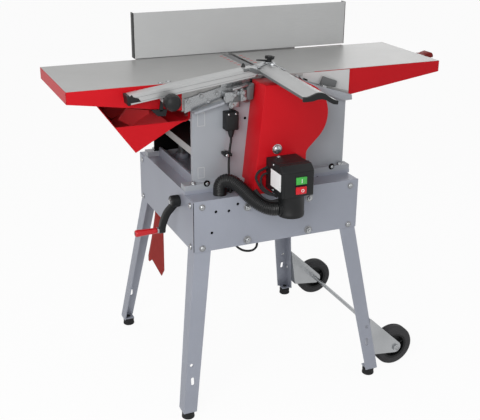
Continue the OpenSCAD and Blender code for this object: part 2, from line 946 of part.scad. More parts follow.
// Cutterblock with its shaft and knife slots
module cutterblock() {
    color(steel) placed() {
        difference() {
            rod_y(knife_r - block_inset, -block_l / 2, block_l, 0, cut_z);
            for (i = [0 : knife_count - 1])
                knife_at(i) block([-knife_t / 2 - wedge_r, -block_l / 2 - over, knife_r - knife_depth],
                    [knife_t / 2 + fit, block_l / 2 + over, knife_r + over]);
        }
        rod_y(shaft_r, pulley_y0, face_y - pulley_y0, 0, cut_z);
    }
}

module knife_at(i) {
    translate([0, 0, cut_z]) rotate([0, 360 * i / knife_count + 60, 0]) children();
}

module planer_knives() {
    low = knife_r - knife_depth + fit;
    color(zinc) placed() for (i = [0 : knife_count - 1])
        knife_at(i) {
            block([-knife_t / 2, -block_l / 2, low], [knife_t / 2, block_l / 2, knife_r]);
            block([-knife_t / 2 - wedge_r, -block_l / 2, low],
                [-knife_t / 2 - fit, block_l / 2, knife_r - block_inset - wedge_r / 4]);
        }
}

// Flanged belt pulley on an axis along Y
module pulley(r, bore, z) {
    difference() {
        union() {
            rod_y(r, pulley_y0, pulley_w, 0, z);
            for (y = [pulley_y0, pulley_y0 + pulley_w - flange_t])
                rod_y(r + flange_r_extra, y, flange_t, 0, z);
        }
        rod_y(bore, pulley_y0 - over, pulley_w + 2 * over, 0, z);
    }
}

module cutter_pulley() {
    color(steel) placed() pulley(small_pulley_r, shaft_r + fit, cut_z);
}

module motor_pulley() {
    color(steel) placed() {
        pulley(big_pulley_r, motor_shaft_r + fit, motor_z);
        rod_y(motor_shaft_r, pulley_y0, motor_y0 - pulley_y0 + motor_shaft_in, 0, motor_z);
    }
}

// Motor: finned shell hung under the base by a saddle
module motor() {
    color(black) placed() difference() {
        union() {
            rod_y(motor_r, motor_y0, motor_l, 0, motor_z);
            for (i = [0 : fin_count - 1])
                translate([0, motor_y0 + motor_l / 4, motor_z]) rotate([0, 360 * i / fin_count, 0])
                    translate([-fin_t / 2, 0, 0]) cube([fin_t, motor_l / 2, motor_r + fin_h]);
            block([-saddle_w / 2, motor_y0 + motor_l / 4, motor_z],
                [saddle_w / 2, motor_y0 + motor_l / 4 + saddle_l, box_z1]);
        }
        rod_y(motor_shaft_r + fit, motor_y0 - over, motor_shaft_in + gap + over, 0, motor_z);
    }
}

module belt_outline(r_small, r_big) {
    hull() {
        translate([0, cut_z]) circle(r = r_small);
        translate([0, motor_z]) circle(r = r_big);
    }
}

module drive_belt() {
    color(black) placed() along_y(belt_y0, belt_w) difference() {
        belt_outline(small_pulley_r + belt_gap + belt_t, big_pulley_r + belt_gap + belt_t);
        belt_outline(small_pulley_r + belt_gap, big_pulley_r + belt_gap);
    }
}

// Feed rollers, each with its sprocket behind the rear plate
module feed_roller(x) {
    half = plate_y - over;
    rod_y(roller_r, -half, 2 * half, x, roller_z);
    rod_y(roller_shaft_r, -face_y, face_y + sprocket_y + sprocket_w, x, roller_z);
    rod_y(sprocket_r, sprocket_y, sprocket_w, x, roller_z);
}

module infeed_roller() {
    color(steel) placed() feed_roller(-roller_x);
}

module outfeed_roller() {
    color(steel) placed() feed_roller(roller_x);
}

module feed_chain() {
    color(black) placed() along_y(sprocket_y, sprocket_w) difference() {
        chain_outline(sprocket_r + belt_gap + chain_t);
        chain_outline(sprocket_r + belt_gap);
    }
}

module chain_outline(r) {
    hull() for (x = [-roller_x, roller_x])
        translate([x, roller_z]) circle(r = r);
}

// Cover of the feed drive on the rear plate, open towards the plate
module rear_outline(inset) {
    top = roller_z + sprocket_r + chain_t + rear_top_gap - inset;
    low = roller_z - rear_low + inset;
    translate([-rear_half_l + inset, low]) square([rear_lobe_x + rear_half_l - inset, top - low]);
    translate([rear_lobe_x, top + inset - rear_lobe_drop - rear_lobe_r / 2])
        circle(r = rear_lobe_r - inset);
}

module rear_cover() {
    color(paint_red) placed() difference() {
        along_y(face_y, rear_d) rear_outline(0);
        along_y(face_y - over, rear_d - rear_t + over) rear_outline(rear_t);
        mirror([0, 1, 0]) along_y(-face_y - ledge_out - gap, ledge_out + gap + over)
            polygon([[ledge_start - gap, ledge_in_z(ledge_start) + rear_d],
                [ledge_start - gap, ledge_in_z(ledge_start) - ledge_t - gap],
                [body_x1 + rear_d, side_z - ledge_t - gap - rear_d * tan(way_in_a)],
                [body_x1 + rear_d, side_z + rear_d]]);
    }
}

// Anti-kickback fingers hanging on their shaft
module kickback_fingers() {
    z = finger_z;
    color(steel) placed() for (i = [0 : finger_count - 1]) {
        y = (i - (finger_count - 1) / 2) * finger_pitch - finger_t / 2;
        difference() {
            along_y(y, finger_t) {
                translate([finger_x, z]) circle(r = finger_w / 2 + 2 * fit + finger_shaft_r / 2);
                translate([finger_x - finger_w / 2, z - finger_drop / 2 - finger_shaft_r])
                    square([finger_w, finger_drop / 2 + finger_shaft_r]);
            }
            rod_y(finger_shaft_r + fit, y - over, finger_t + 2 * over, finger_x, z);
        }
    }
}

// Thicknesser table with end flanges and ribs below
module thicknesser_table() {
    x = thick_l / 2;
    y = thick_w / 2;
    color(ground_grey) placed() difference() {
        union() {
            block([-x, -y, thick_z0], [x, y, thick_z1]);
            for (x0 = [-x, x - end_t])
                block([x0, -y, thick_z1 - end_h], [x0 + end_t, y, thick_z1]);
            for (y0 = [-y, y - rib_t])
                block([-x, y0, thick_z1 - rib_h], [x, y0 + rib_t, thick_z1]);
        }
        for (p = concat(post_places(), [[screw_x, screw_y]]))
            rod_z(boss_r + gap, thick_z0 - end_h, end_h, p[0], p[1]);
    }
}

module guide_posts() {
    low = base_z1 - lift_up - lift_reach;
    color(steel) placed() for (p = post_places())
        rod_z(post_r, low, thick_z0 - low, p[0], p[1]);
}

module lift_screw() {
    low = gear_z + gear_r - gear_face - lift_up - over;
    color(steel) placed() rod_z(screw_r, low, thick_z0 - low, screw_x, screw_y);
}

// Mitre gear with its apex at the origin and its wide end at +Z
module mitre_gear(phase) {
    small = gear_r - gear_face;
    translate([0, 0, small]) cylinder(r1 = small - tooth_root, r2 = gear_r - tooth_root, h = gear_face);
    for (i = [0 : gear_teeth - 1])
        rotate([0, 0, 360 * (i + phase) / gear_teeth])
            translate([gear_r - gear_face / 2, 0, gear_r - gear_face / 2]) rotate([0, -45, 0])
                translate([-gear_face / 2, -tooth_w / 2, -tooth_top])
                    cube([gear_face, tooth_w, tooth_top + tooth_root]);
}

module lift_nut() {
    color(steel) placed() difference() {
        union() {
            translate([screw_x, screw_y, gear_z]) mitre_gear(0.5);
            rod_z(nut_hub_r, gear_z + gear_r, base_z1 - gear_z - gear_r + gap, screw_x, screw_y);
            rod_z(nut_collar_r, gear_z + gear_r, gear_top_gap - gap, screw_x, screw_y);
            rod_z(nut_collar_r, base_z1 + gap, nut_collar_h, screw_x, screw_y);
        }
        rod_z(screw_r + fit, gear_z - over, base_z1 - gear_z + nut_collar_h + 2 * over, screw_x, screw_y);
    }
}

module crank_shaft() {
    x0 = -half_l - hub_gap - hub_l;
    gear_x = screw_x - gear_r;
    color(steel) placed() {
        translate([screw_x, screw_y, gear_z]) rotate([0, -90, 0]) mitre_gear(0);
        rod_x(crank_r, x0, gear_x - x0 + gear_face / 2, screw_y, gear_z);
    }
}

// Crank arm: hub on the shaft and a bar that falls away outwards
module crank_arm() {
    x0 = -half_l - hub_gap - hub_l;
    low_z = gear_z - crank_drop;
    low_x = x0 - arm_out + hub_l / 2;
    color(black) placed() difference() {
        union() {
            rod_x(hub_r, x0, hub_l, screw_y, gear_z);
            hull() {
                translate([x0 + arm_r, screw_y, gear_z - arm_r]) sphere(r = arm_r, $fn = 24);
                translate([low_x, screw_y, low_z]) sphere(r = arm_r, $fn = 24);
            }
            rod_x(grip_r, low_x - arm_r, 2 * arm_r, screw_y, low_z);
            rod_x(grip_pin_r, low_x - arm_r - grip_l - grip_gap, grip_l + arm_r, screw_y, low_z);
        }
        rod_x(crank_r + fit, x0 - over, hub_l + 2 * over, screw_y, gear_z);
    }
}

// Grip: a turned handle, thicker towards its outer end
module crank_grip() {
    low_z = gear_z - crank_drop;
    x1 = -half_l - hub_gap - hub_l / 2 - arm_out - arm_r - grip_gap;
    color(paint_red) placed() translate([x1, screw_y, low_z]) rotate([0, -90, 0]) difference() {
        union() {
            cylinder(r1 = grip_r, r2 = grip_end_r, h = grip_l - grip_end_r / 2);
            translate([0, 0, grip_l - grip_end_r / 2])
                cylinder(r1 = grip_end_r, r2 = grip_r, h = grip_end_r / 2);
        }
        translate([0, 0, -over]) cylinder(r = grip_pin_r + fit, h = grip_l + 2 * over);
    }
}

// Planing tables: plate, comb slots in the lip, and wedge walls on the ways
module lip_slots(x0) {
    for (i = [-slot_side_count : slot_side_count])
        block([x0, i * slot_pitch - slot_w / 2, table_z - table_t - 2 * over],
            [x0 + slot_l, i * slot_pitch + slot_w / 2, table_z + over]);
}

module outfeed_table() {
    under = table_z - table_t;
    color(ground_grey) placed() difference() {
        union() {
            block([-end_x, -rear_edge, under], [-lip_x, rear_edge, table_z]);
            for (y0 = [-rear_edge, rear_edge - wall_t])
                along_y(y0, wall_t) polygon([[out_wall_x, under], [-skirt_x, under],
                    [-skirt_x, ledge_out_z(body_x0)], [body_x0, ledge_out_z(body_x0)],
                    [out_wall_x, ledge_out_z(out_wall_x)]]);
        }
        rod_y(knife_r + lip_clear, -rear_edge - over, table_w + 2 * over, 0, cut_z);
        lip_slots(-lip_x - slot_edge - slot_l);
    }
}

module infeed_table() {
    under = in_z - table_t;
    low_z = ledge_in_z(skirt_x) + way_gap;
    high_x = body_x1 - (under - side_z - way_gap) / tan(way_in_a);
    lip = lip_x + chip_run;
    color(ground_grey) placed() difference() {
        union() {
            block([lip, -rear_edge, under], [end_x, rear_edge, in_z]);
            for (y0 = [-rear_edge, rear_edge - wall_t])
                along_y(y0, wall_t) polygon([[high_x, under], [skirt_x, under], [skirt_x, low_z]]);
        }
        rod_y(knife_r + lip_clear, -rear_edge - over, table_w + 2 * over, 0, cut_z);
        rod_y(knife_r + lip_clear, -rear_edge - over, table_w + 2 * over, chip_run, cut_z - chip_depth);
        lip_slots(lip + slot_edge);
    }
}

// Skirt under the outer part of a table: two tapered sides and an end wall
module skirt(top) {
    side = [[skirt_x, top], [end_x, top], [end_x, top - skirt_h], [skirt_x, top - skirt_h - skirt_fall]];
    for (y0 = [-rear_edge, rear_edge - skirt_t])
        along_y(y0, skirt_t) polygon(side);
    block([end_x - skirt_t, -rear_edge, top - skirt_h], [end_x, rear_edge, top]);
}

module outfeed_skirt() {
    color(paint_red) placed() mirror([1, 0, 0]) skirt(table_z - table_t);
}

module infeed_skirt() {
    color(paint_red) placed() {
        skirt(in_z - table_t);
        for (y = [lever_y - lever_w / 2 + lug_t, lever_y + lever_w / 2 - 2 * lug_t])
            block([end_x, y, lever_z - lever_pin_r],
                [end_x + lever_out + lever_pin_r, y + lug_t, lever_z + lever_pin_r]);
        rod_y(lever_pin_r - fit, lever_y - lever_w / 2 - lug_t, lever_w + 2 * lug_t,
            end_x + lever_out, lever_z);
    }
}

// Lever that sets the infeed table: hub round its pin and a rounded paddle
module depth_lever() {
    x = end_x + lever_out;
    color(paint_red) placed() difference() {
        union() {
            rod_y(lever_hub_r, lever_y - lever_w / 2, lever_w, x, lever_z);
            translate([x, lever_y - lever_w / 2, lever_z]) cube([lever_l, lever_w, lever_t]);
            translate([x + lever_l, lever_y, lever_z]) cylinder(r = lever_w / 2, h = lever_t);
        }
        rod_y(lever_pin_r, lever_y - lever_w, 2 * lever_w, x, lever_z);
        for (y = [lever_y - lever_w / 2 + lug_t, lever_y + lever_w / 2 - 2 * lug_t])
            block([x - 2 * lever_hub_r, y - gap, lever_z - 2 * lever_hub_r],
                [x + lever_hub_r + gap, y + lug_t + gap, lever_z + 2 * lever_hub_r]);
    }
}

// Zinc brackets on the front side: rail, clamp block, stop, clips on the ways, guard pivot
module side_brackets() {
    color(zinc) placed() {
        block([rail_x0, -rear_edge - rail_t, table_z - rail_drop],
            [rail_x1, -rear_edge, table_z - rail_drop + rail_h]);
        block([block_x, -face_y - block_d, table_z - block_drop - block_h],
            [block_x + block_w, -face_y, table_z - block_drop]);
        block([block_x - clamp_plate_w, -face_y - clamp_plate_d, table_z - block_drop - block_h],
            [block_x, -face_y, table_z - block_drop - block_h / 3]);
        for (x = [clip_x, clip_x + clip_l + clip_h])
            translate([x, -face_y - ledge_out, ledge_in_z(x)]) rotate([0, way_in_a, 0])
                cube([clip_h, ledge_out - gap, clip_h / 2]);
        guard_pivot();
    }
}

// Plate on the outfeed skirt with the pin that the guard arm turns on
module guard_pivot() {
    block([pivot_x - pivot_base_l / 2, -rear_edge - rail_t - pivot_base_t, pivot_z - pivot_base_h / 2],
        [pivot_x + pivot_base_l / 2, -rear_edge - rail_t, pivot_z + pivot_base_h / 2]);
    block([pivot_x - pivot_base_l / 2, -rear_edge - rail_t, pivot_z - pivot_base_h / 2],
        [rail_x0, -rear_edge, pivot_z + pivot_base_h / 2]);
    rod_y(pivot_r, pivot_pin_y, -rear_edge - pivot_pin_y, pivot_x, pivot_z);
}

// Fence: face plate with ribs and two knuckles for its hinge pin
module fence_plate() {
    x0 = fence_x - fence_l / 2;
    rib = fence_wall;
    color(aluminium) placed() difference() {
        union() {
            block([x0, fence_y, fence_z], [x0 + fence_l, fence_y + fence_wall, fence_z + fence_h]);
            for (z = fence_rib_shares * fence_h)
                block([x0, fence_y, fence_z + z], [x0 + fence_l, fence_y + fence_d, fence_z + z + rib]);
            for (side = [-1, 1]) {
                kx = fence_x + side * knuckle_x - knuckle_w / 2;
                rod_x(knuckle_r, kx, knuckle_w, pin_y, pin_z);
                block([kx, fence_y, pin_z - knuckle_r], [kx + knuckle_w, pin_y, pin_z + knuckle_r]);
            }
        }
        rod_x(pin_r + fit, x0, fence_l, pin_y, pin_z);
    }
}

// Yoke: hinge pin and knuckle on a bar that slides across the tables
module fence_yoke() {
    inner = knuckle_x - knuckle_w / 2 - gap;
    pin_half = knuckle_x + knuckle_w / 2;
    color(zinc) placed() {
        rod_x(knuckle_r, fence_x - inner, 2 * inner, pin_y, pin_z);
        rod_x(pin_r, fence_x - pin_half, 2 * pin_half, pin_y, pin_z);
        block([fence_x - bar_w / 2, pin_y, pin_z - bar_h / 2],
            [fence_x + bar_w / 2, pin_y + knuckle_r + bar_l, pin_z + bar_h / 2]);
    }
}

// Holder behind the tables, bolted to the rear plate
module fence_holder() {
    y0 = pin_y + holder_y;
    y1 = y0 + holder_l;
    x0 = fence_x - holder_w / 2;
    x1 = fence_x + holder_w / 2;
    z0 = pin_z - bar_h / 2 - holder_wall;
    plate_z = cut_z + bearing_r - holder_plate_h;
    color(zinc) placed() difference() {
        union() {
            block([x0, y0, z0], [x1, y1, pin_z + bar_h / 2 + holder_wall]);
            block([x0, face_y, plate_z], [x1, y1, plate_z + holder_plate_t]);
            block([x0, y0, plate_z], [x1, y1, z0 + over]);
            block([fence_x - holder_plate_w / 2, face_y, plate_z],
                [fence_x + holder_plate_w / 2, face_y + holder_plate_t, plate_z + holder_plate_h]);
        }
        block([fence_x - bar_w / 2 - fit, y0 - over, pin_z - bar_h / 2 - fit],
            [fence_x + bar_w / 2 + fit, y1 + over, pin_z + bar_h / 2 + fit]);
    }
}

// Guard arm: a profile that slopes up to the clamp, with the lug of its pivot
module arm_end() {
    translate([arm_end_x, arm_y, arm_end_z]) rotate([0, -arm_a, 0])
        translate([0, 0, -arm_h / 2]) children();
}

function arm_z(x) = arm_end_z + (x - arm_end_x) * tan(arm_a);

module guard_arm() {
    lug_y = arm_y1 - pivot_lug_t;
    color(aluminium) placed() difference() {
        union() {
            arm_end() translate([-arm_l, 0, 0]) cube([arm_l, arm_d, arm_h]);
            rod_y(pivot_lug_r, lug_y, pivot_lug_t, pivot_x, pivot_z);
            block([pivot_x - pivot_lug_r, lug_y, pivot_z], [pivot_x + pivot_lug_r, arm_y1, arm_z(pivot_x)]);
        }
        rod_y(pivot_r + fit, lug_y - over, pivot_lug_t + 2 * over, pivot_x, pivot_z);
    }
}

// Ball knob that locks the arm on its pivot
module guard_knob() {
    y1 = arm_y1 - pivot_lug_t - gap;
    color(black) placed() difference() {
        union() {
            rod_y(knob_neck_r, y1 - knob_neck_l - knob_r / 2, knob_neck_l + knob_r / 2, pivot_x, pivot_z);
            translate([pivot_x, y1 - knob_neck_l - knob_r, pivot_z]) sphere(r = knob_r);
        }
        rod_y(pivot_r + fit, y1 - knob_pin_l - gap, knob_pin_l + gap + over, pivot_x, pivot_z);
    }
}

// Wave section of the guard: a raised middle between two flat wings
module guard_section(grow) {
    w = guard_w / 2 + grow;
    t = guard_t + grow;
    polygon([[-w, -grow], [w, -grow], [w, t], [guard_w / 4, guard_rise / 2 + t],
        [guard_w / 10, guard_rise + grow], [-guard_w / 10, guard_rise + grow],
        [-guard_w / 4, guard_rise / 2 + t], [-w, t]]);
}

// The guard lies a little askew in its clamp: turned in plan and rolled to the right
module guard_frame() {
    translate([guard_x, guard_y, guard_z]) rotate([0, guard_roll, guard_yaw]) children();
}

module guard_profile() {
    color(aluminium) placed() guard_frame() {
        along_y(guard_in - guard_l, guard_l) guard_section(0);
        along_y(guard_in - guard_l - cap_l, cap_l) guard_section(over);
    }
}

// Clamp on the arm's end, in which the guard profile slides
module guard_clamp() {
    grow = gap + channel_t;
    y0 = channel_in - channel_l;
    color(zinc) placed() {
        guard_frame() {
            difference() {
                along_y(y0, channel_l) guard_section(grow);
                along_y(y0 - over, channel_l + 2 * over) guard_section(gap);
            }
            rod_z(thumb_stud_r, guard_rise + gap, channel_t + thumb_gap + thumb_h / 2, 0, thumb_y);
        }
        arm_end() cube([tongue_l, arm_d, arm_h]);
    }
}

module clamp_knob() {
    z0 = guard_rise + gap + channel_t + thumb_gap;
    color(black) placed() guard_frame() difference() {
        union() {
            rod_z(thumb_r, z0, thumb_h, 0, thumb_y);
            block([-3 * thumb_r, thumb_y - thumb_h / 4, z0 + thumb_h / 4],
                [0, thumb_y + thumb_h / 4, z0 + thumb_h]);
        }
        rod_z(thumb_stud_r + fit, z0 - over, thumb_h / 2 + over + gap, 0, thumb_y);
    }
}

// Chip hood: tray under the cutterblock and a funnel outside the body that widens to the front
module hood_curve(inset) {
    flare = hood_flare_share;
    floor_z = tray_z + inset;
    tip_z = table_z - hood_tip_drop + inset;
    rim_z = table_z - hood_top;
    polygon([[(inset - hood_left) / flare, rim_z + inset], [(inset - hood_left) / flare, rim_z],
        [-hood_tip_x / flare, tip_z], [-hood_bend_x / flare, floor_z - hood_bend_drop],
        [-hood_bend_x / 2 / flare, floor_z - hood_bend_drop / 3],
        [inset / 2, floor_z], [inset / 2, rim_z + inset]]);
}

module hood_funnel(inset) {
    half = hood_half_w - inset;
    translate([body_x0 - over, half, 0]) rotate([90, 0, 0])
        linear_extrude(2 * half, scale = [hood_flare_share, 1], slices = 1) hood_curve(inset);
}

module chip_hood() {
    wall_z = table_z - hood_wall_drop;
    port_z = table_z - port_drop;
    color(paint_red) placed() difference() {
        union() {
            difference() {
                hood_funnel(0);
                hood_funnel(hood_t);
                block([-tables_l, -hood_half_w - over, wall_z], [0, -hood_half_w + hood_t + over, table_z]);
            }
            block([body_x0 - 2 * over, -tray_half_w, tray_z], [tray_end, tray_half_w, tray_z + hood_t]);
            for (y = [-tray_half_w, tray_half_w - hood_t])
                block([body_x0 - 2 * over, y, tray_z], [tray_end, y + hood_t, tray_z + tray_h]);
            rod_y(port_r, hood_half_w - over, port_l, port_x, port_z);
        }
        rod_y(port_r - port_wall, hood_half_w - hood_t - 2 * over, port_l + 3 * over + hood_t,
            port_x, port_z);
    }
}

// Belt cover: slanted left side, round lobe on the right, open at the back and below
module cover_outline(inset, below) {
    top = cover_top - inset;
    lobe_z = cover_top - lobe_r;
    r = lobe_r - inset;
    low = box_z1 - below;
    diag = r * cos(45);
    translate([lobe_x, lobe_z]) circle(r = r, $fn = 96);
    polygon([[cover_left_top + inset, top], [lobe_x, top], [lobe_x + diag, lobe_z - diag],
        [cover_right - inset, box_z1 + cover_neck], [cover_right - inset, low],
        [cover_left_low + inset, low]]);
}

module belt_cover() {
    color(paint_red) placed() {
        difference() {
            along_y(cover_y0, cover_d) cover_outline(0, 0);
            along_y(cover_y0 + cover_t, cover_d) cover_outline(cover_t, over);
            block([-half_l, -base_half_w - gap, box_z1 - over],
                [half_l, -face_y + over, base_z1 + foot_step + gap]);
        }
        rod_y(dome_r, cover_y0 - dome_r / 2, dome_r / 2, dome_x, box_z1 + dome_rise);
    }
}

// Switch box with its chamfered lid and round mains inlet
module switch_box() {
    x = switch_w / 2;
    c = switch_chamfer;
    z1 = switch_z + switch_h;
    color(black) placed() difference() {
        union() {
            block([-x, switch_y + lid_d, switch_z], [x, cover_y0, z1]);
            along_y(switch_y, lid_d) polygon([[-x, switch_z + c], [-x + c, switch_z], [x - c, switch_z],
                [x, switch_z + c], [x, z1 - c], [x - c, z1], [-x + c, z1], [-x, z1 - c]]);
            rod_z(collar_r, switch_z - collar_l, collar_l, 0, switch_y + collar_inset);
            rod_x(inlet_r, -inlet_l, inlet_l, switch_y + collar_inset, switch_z - inlet_drop);
        }
        button_hole(stop_low);
        button_hole(stop_low + button_h + button_gap);
    }
}

module button_hole(rise) {
    top = switch_z + rise + button_h - 2 * button_gap;
    block([button_x - button_w / 2 - gap, switch_y - over, switch_z + rise - gap],
        [button_x + button_w / 2 + gap, switch_y + button_in, top + gap]);
}

module button(rise) {
    block([button_x - button_w / 2, switch_y - button_out, switch_z + rise],
        [button_x + button_w / 2, switch_y + button_in / 2, switch_z + rise + button_h - 2 * button_gap]);
}

module start_button() {
    color(start_green) placed() button(stop_low + button_h + button_gap);
}

module stop_button() {
    color(paint_red) placed() button(stop_low);
}

// Limit switch on the front plate, with its cable gland
module limit_switch() {
    color(black) placed() {
        block([limit_x - limit_w / 2, -face_y - limit_d, limit_z],
            [limit_x + limit_w / 2, -face_y, limit_z + limit_h]);
        rod_z(gland_r, limit_z - gland_l, gland_l, limit_x, cable_start[1]);
    }
}

module cables() {
    color(black) placed() {
        tube(cable_route, cable_r, 8);
        tube(loop_route, cable_r, 8);
    }
}

// Ribbed conduit: rib crests and roots along a smooth route, with its bore
function spot(p, s) = let (n = len(p) - 1, i = min(floor(s * n), n - 1), f = s * n - i)
    let (a = p[max(i - 1, 0)], b = p[i], c = p[i + 1], d = p[min(i + 2, n)])
    b + f * (c - a) / 2 + f * f * (a - 2.5 * b + 2 * c - d / 2) + f * f * f * (1.5 * (b - c) + (d - a) / 2);

module conduit_hose() {
    steps = 2 * hose_ribs;
    n = 8;
    mid = [for (i = [0 : steps]) spot(hose_route, i / steps)];
    outer = [for (i = [0 : steps]) each ring(mid[i], tangent(mid, i), hose_r + (i % 2) * hose_rib_h, n)];
    inner = [for (i = [0 : steps]) each ring(mid[i], tangent(mid, i), hose_bore_r, n)];
    shift = (steps + 1) * n;
    last = steps * n;
    walls = [for (i = [0 : steps - 1], k = [0 : n - 1]) each
        let (a = i * n + k, b = i * n + (k + 1) % n)
        [[a, b, b + n], [a, b + n, a + n], [shift + a, shift + b + n, shift + b],
            [shift + a, shift + a + n, shift + b + n]]];
    ends = [for (k = [0 : n - 1]) each let (j = (k + 1) % n)
        [[k, shift + k, shift + j], [k, shift + j, j],
            [last + k, last + j, shift + last + j], [last + k, shift + last + j, shift + last + k]]];
    color(black) placed() polyhedron(concat(outer, inner), concat(walls, ends));
}

// Push stick: narrow handle that widens to a foot with a notch, hung by a hole
module push_stick() {
    half = stick_w / 2;
    left = half - stick_foot_w;
    color(paint_red) placed() difference() {
        along_y(stick_y, stick_t) translate([stick_x, stick_z])
            polygon(concat([for (a = [0 : 15 : 180]) half * [cos(a), sin(a)]],
                [[-half, stick_neck - stick_l], [(left - half) / 2, stick_flare - stick_l],
                    [left, stick_prong + stick_edge - stick_l], [left, stick_prong - stick_l],
                    [left + stick_tip, stick_prong + stick_tip / 2 - stick_l],
                    [half - stick_tip, -stick_l], [half, 2 * stick_tip - stick_l]]));
        rod_y(hook_r + fit, stick_y - over, stick_t + 2 * over, stick_x, stick_z);
    }
}

stand_front_panel();
stand_rear_panel();
stand_left_panel();
stand_right_panel();
leg_front_left();
leg_front_right();
leg_rear_left();
leg_rear_right();
rubber_feet();
stand_bolts();
wheel_brackets();
wheel_axle();
front_wheel();
rear_wheel();
body_base();
body_front_plate();
body_rear_plate();
shaft_bearings();
cross_bars();
cutterblock();
planer_knives();
cutter_pulley();
motor();
motor_pulley();
drive_belt();
infeed_roller();
outfeed_roller();
feed_chain();
rear_cover();
kickback_fingers();
thicknesser_table();
guide_posts();
lift_screw();
lift_nut();
crank_shaft();
crank_arm();
crank_grip();
outfeed_table();
outfeed_skirt();
infeed_table();
infeed_skirt();
depth_lever();
side_brackets();
fence_plate();
fence_yoke();
fence_holder();
guard_knob();
guard_arm();
guard_clamp();
clamp_knob();
guard_profile();
chip_hood();
belt_cover();
switch_box();
start_button();
stop_button();
limit_switch();
cables();
conduit_hose();
push_stick();
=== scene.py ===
"""Looks of a combination planer thicknesser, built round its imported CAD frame."""

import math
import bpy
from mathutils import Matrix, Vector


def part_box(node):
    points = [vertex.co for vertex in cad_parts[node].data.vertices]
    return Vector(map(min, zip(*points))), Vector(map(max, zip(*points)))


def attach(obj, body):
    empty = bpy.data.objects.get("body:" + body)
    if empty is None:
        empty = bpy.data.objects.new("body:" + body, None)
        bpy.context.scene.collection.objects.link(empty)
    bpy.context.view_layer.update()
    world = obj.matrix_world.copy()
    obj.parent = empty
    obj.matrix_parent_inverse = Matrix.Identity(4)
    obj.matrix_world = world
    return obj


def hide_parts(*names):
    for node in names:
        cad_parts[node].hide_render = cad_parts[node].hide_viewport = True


bl_info = {
    "name": "Planer Thicknesser Looks",
    "version": (1, 0, 0),
    "blender": (4, 5, 0),
    "location": "View3D > Sidebar > Planer",
    "description": "Finishes, fittings, cords and stage of a planer thicknesser",
    "category": "Object",
}

import bpy
from bpy.props import FloatProperty, FloatVectorProperty, IntProperty, PointerProperty
from bpy.types import Operator, Panel, PropertyGroup
from mathutils import Euler, Matrix, Vector

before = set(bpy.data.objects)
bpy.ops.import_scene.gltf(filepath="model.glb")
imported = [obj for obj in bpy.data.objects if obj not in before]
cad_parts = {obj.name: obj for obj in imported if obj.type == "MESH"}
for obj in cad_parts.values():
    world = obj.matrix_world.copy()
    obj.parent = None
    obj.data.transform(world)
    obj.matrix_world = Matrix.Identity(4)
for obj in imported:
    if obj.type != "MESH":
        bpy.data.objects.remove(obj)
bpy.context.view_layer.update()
MM = 0.001

# Zero of the machine's own measures: under the middle of the stand box
_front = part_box("stand_front_panel")
_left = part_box("stand_left_panel")
HOME = Vector(((_front[0].x + _front[1].x) / 2, (_left[0].y + _left[1].y) / 2, 0))

FRONT, BACK = (0, -1, 0), (0, 1, 0)
LEFT, RIGHT = (-1, 0, 0), (1, 0, 0)
DOWN, UP = (0, 0, -1), (0, 0, 1)

PANEL_X, PANEL_Y = -236, -220
PLATE_Y = -148
FOOT_Z, TABLE_Z, INFEED_Z = 606, 868.6, 866.1
WHEEL_X, WHEEL_Z, WHEEL_W = 368, 60.5, 34
WHEEL_YS = (-262.5, 227.5)
# Place and turn
GUARD = (-6, -175, 878), (0, math.radians(5.3), math.radians(-4.4))
ARM = (-60, -189, 887.6), (0, math.radians(-7.4), 0)


def at(x, y, z):
    """A point of the machine in millimetres, as a point of the frame in metres."""
    return HOME + Vector((x, y, z)) * MM


def linear(red, green, blue):
    """A colour as a screen shows it, turned into a linear one."""
    parts = [c / 255 for c in (red, green, blue)]
    return [c / 12.92 if c <= 0.04045 else ((c + 0.055) / 1.055) ** 2.4 for c in parts]


def colour_prop(label, words, red, green, blue):
    return FloatVectorProperty(
        name=label, description=words, subtype="COLOR", size=3, min=0, max=1,
        default=linear(red, green, blue))


class PlanerColours(PropertyGroup):
    """Colours of the machine's finishes."""

    panel_grey: colour_prop("Panel grey", "Powder coat of the stand", 152, 156, 167)
    plate_grey: colour_prop("Plate grey", "Paint of the body's plates", 158, 162, 168)
    paint_red: colour_prop("Red", "Powder coat of the covers and the hood", 190, 20, 30)
    ground_grey: colour_prop("Ground grey", "Ground faces of the tables", 162, 162, 161)
    anodised: colour_prop("Anodised", "Fence, guard and guard arm", 178, 179, 179)
    fence_grey: colour_prop("Fence grey", "Face of the fence", 184, 185, 185)
    # Partly painted light: the infeed table's side is its own paler paint, made lighter still to stand for
    # the light on it; the plate frames use it too.
    pale_grey: colour_prop("Pale grey", "Side of the infeed table over its way", 196, 197, 197)
    # Painted shade: near black on the thicknesser table's top, for the shade it lies in inside the body.
    painted_shade_iron: colour_prop("Iron", "Top of the thicknesser table", 46, 46, 47)
    # Painted shade: the depth lever's red paint, darkened for the shade it stands in.
    lever_red_shaded: colour_prop("Lever red", "Depth lever", 122, 36, 32)
    zinc: colour_prop("Zinc", "Plated brackets and bolts", 172, 174, 176)
    steel: colour_prop("Steel", "Turned steel", 140, 141, 143)
    block_grey: colour_prop("Block grey", "Cast blocks along the table ways", 98, 100, 101)
    black: colour_prop("Black", "Black plastic", 26, 27, 28)
    rubber: colour_prop("Rubber", "Feet, tyres and cords", 38, 38, 39)
    stop_red: colour_prop("Stop red", "Stop button", 205, 35, 45)
    start_green: colour_prop("Start green", "Start button", 70, 172, 74)
    board_red: colour_prop("Board red", "Painted push stick", 156, 56, 52)
    mark_white: colour_prop("White", "Bare plate and button marks", 235, 235, 235)


def size_prop(label, words, default, low, high, kind=FloatProperty):
    return kind(name=label, description=words, default=default, min=low, max=high)


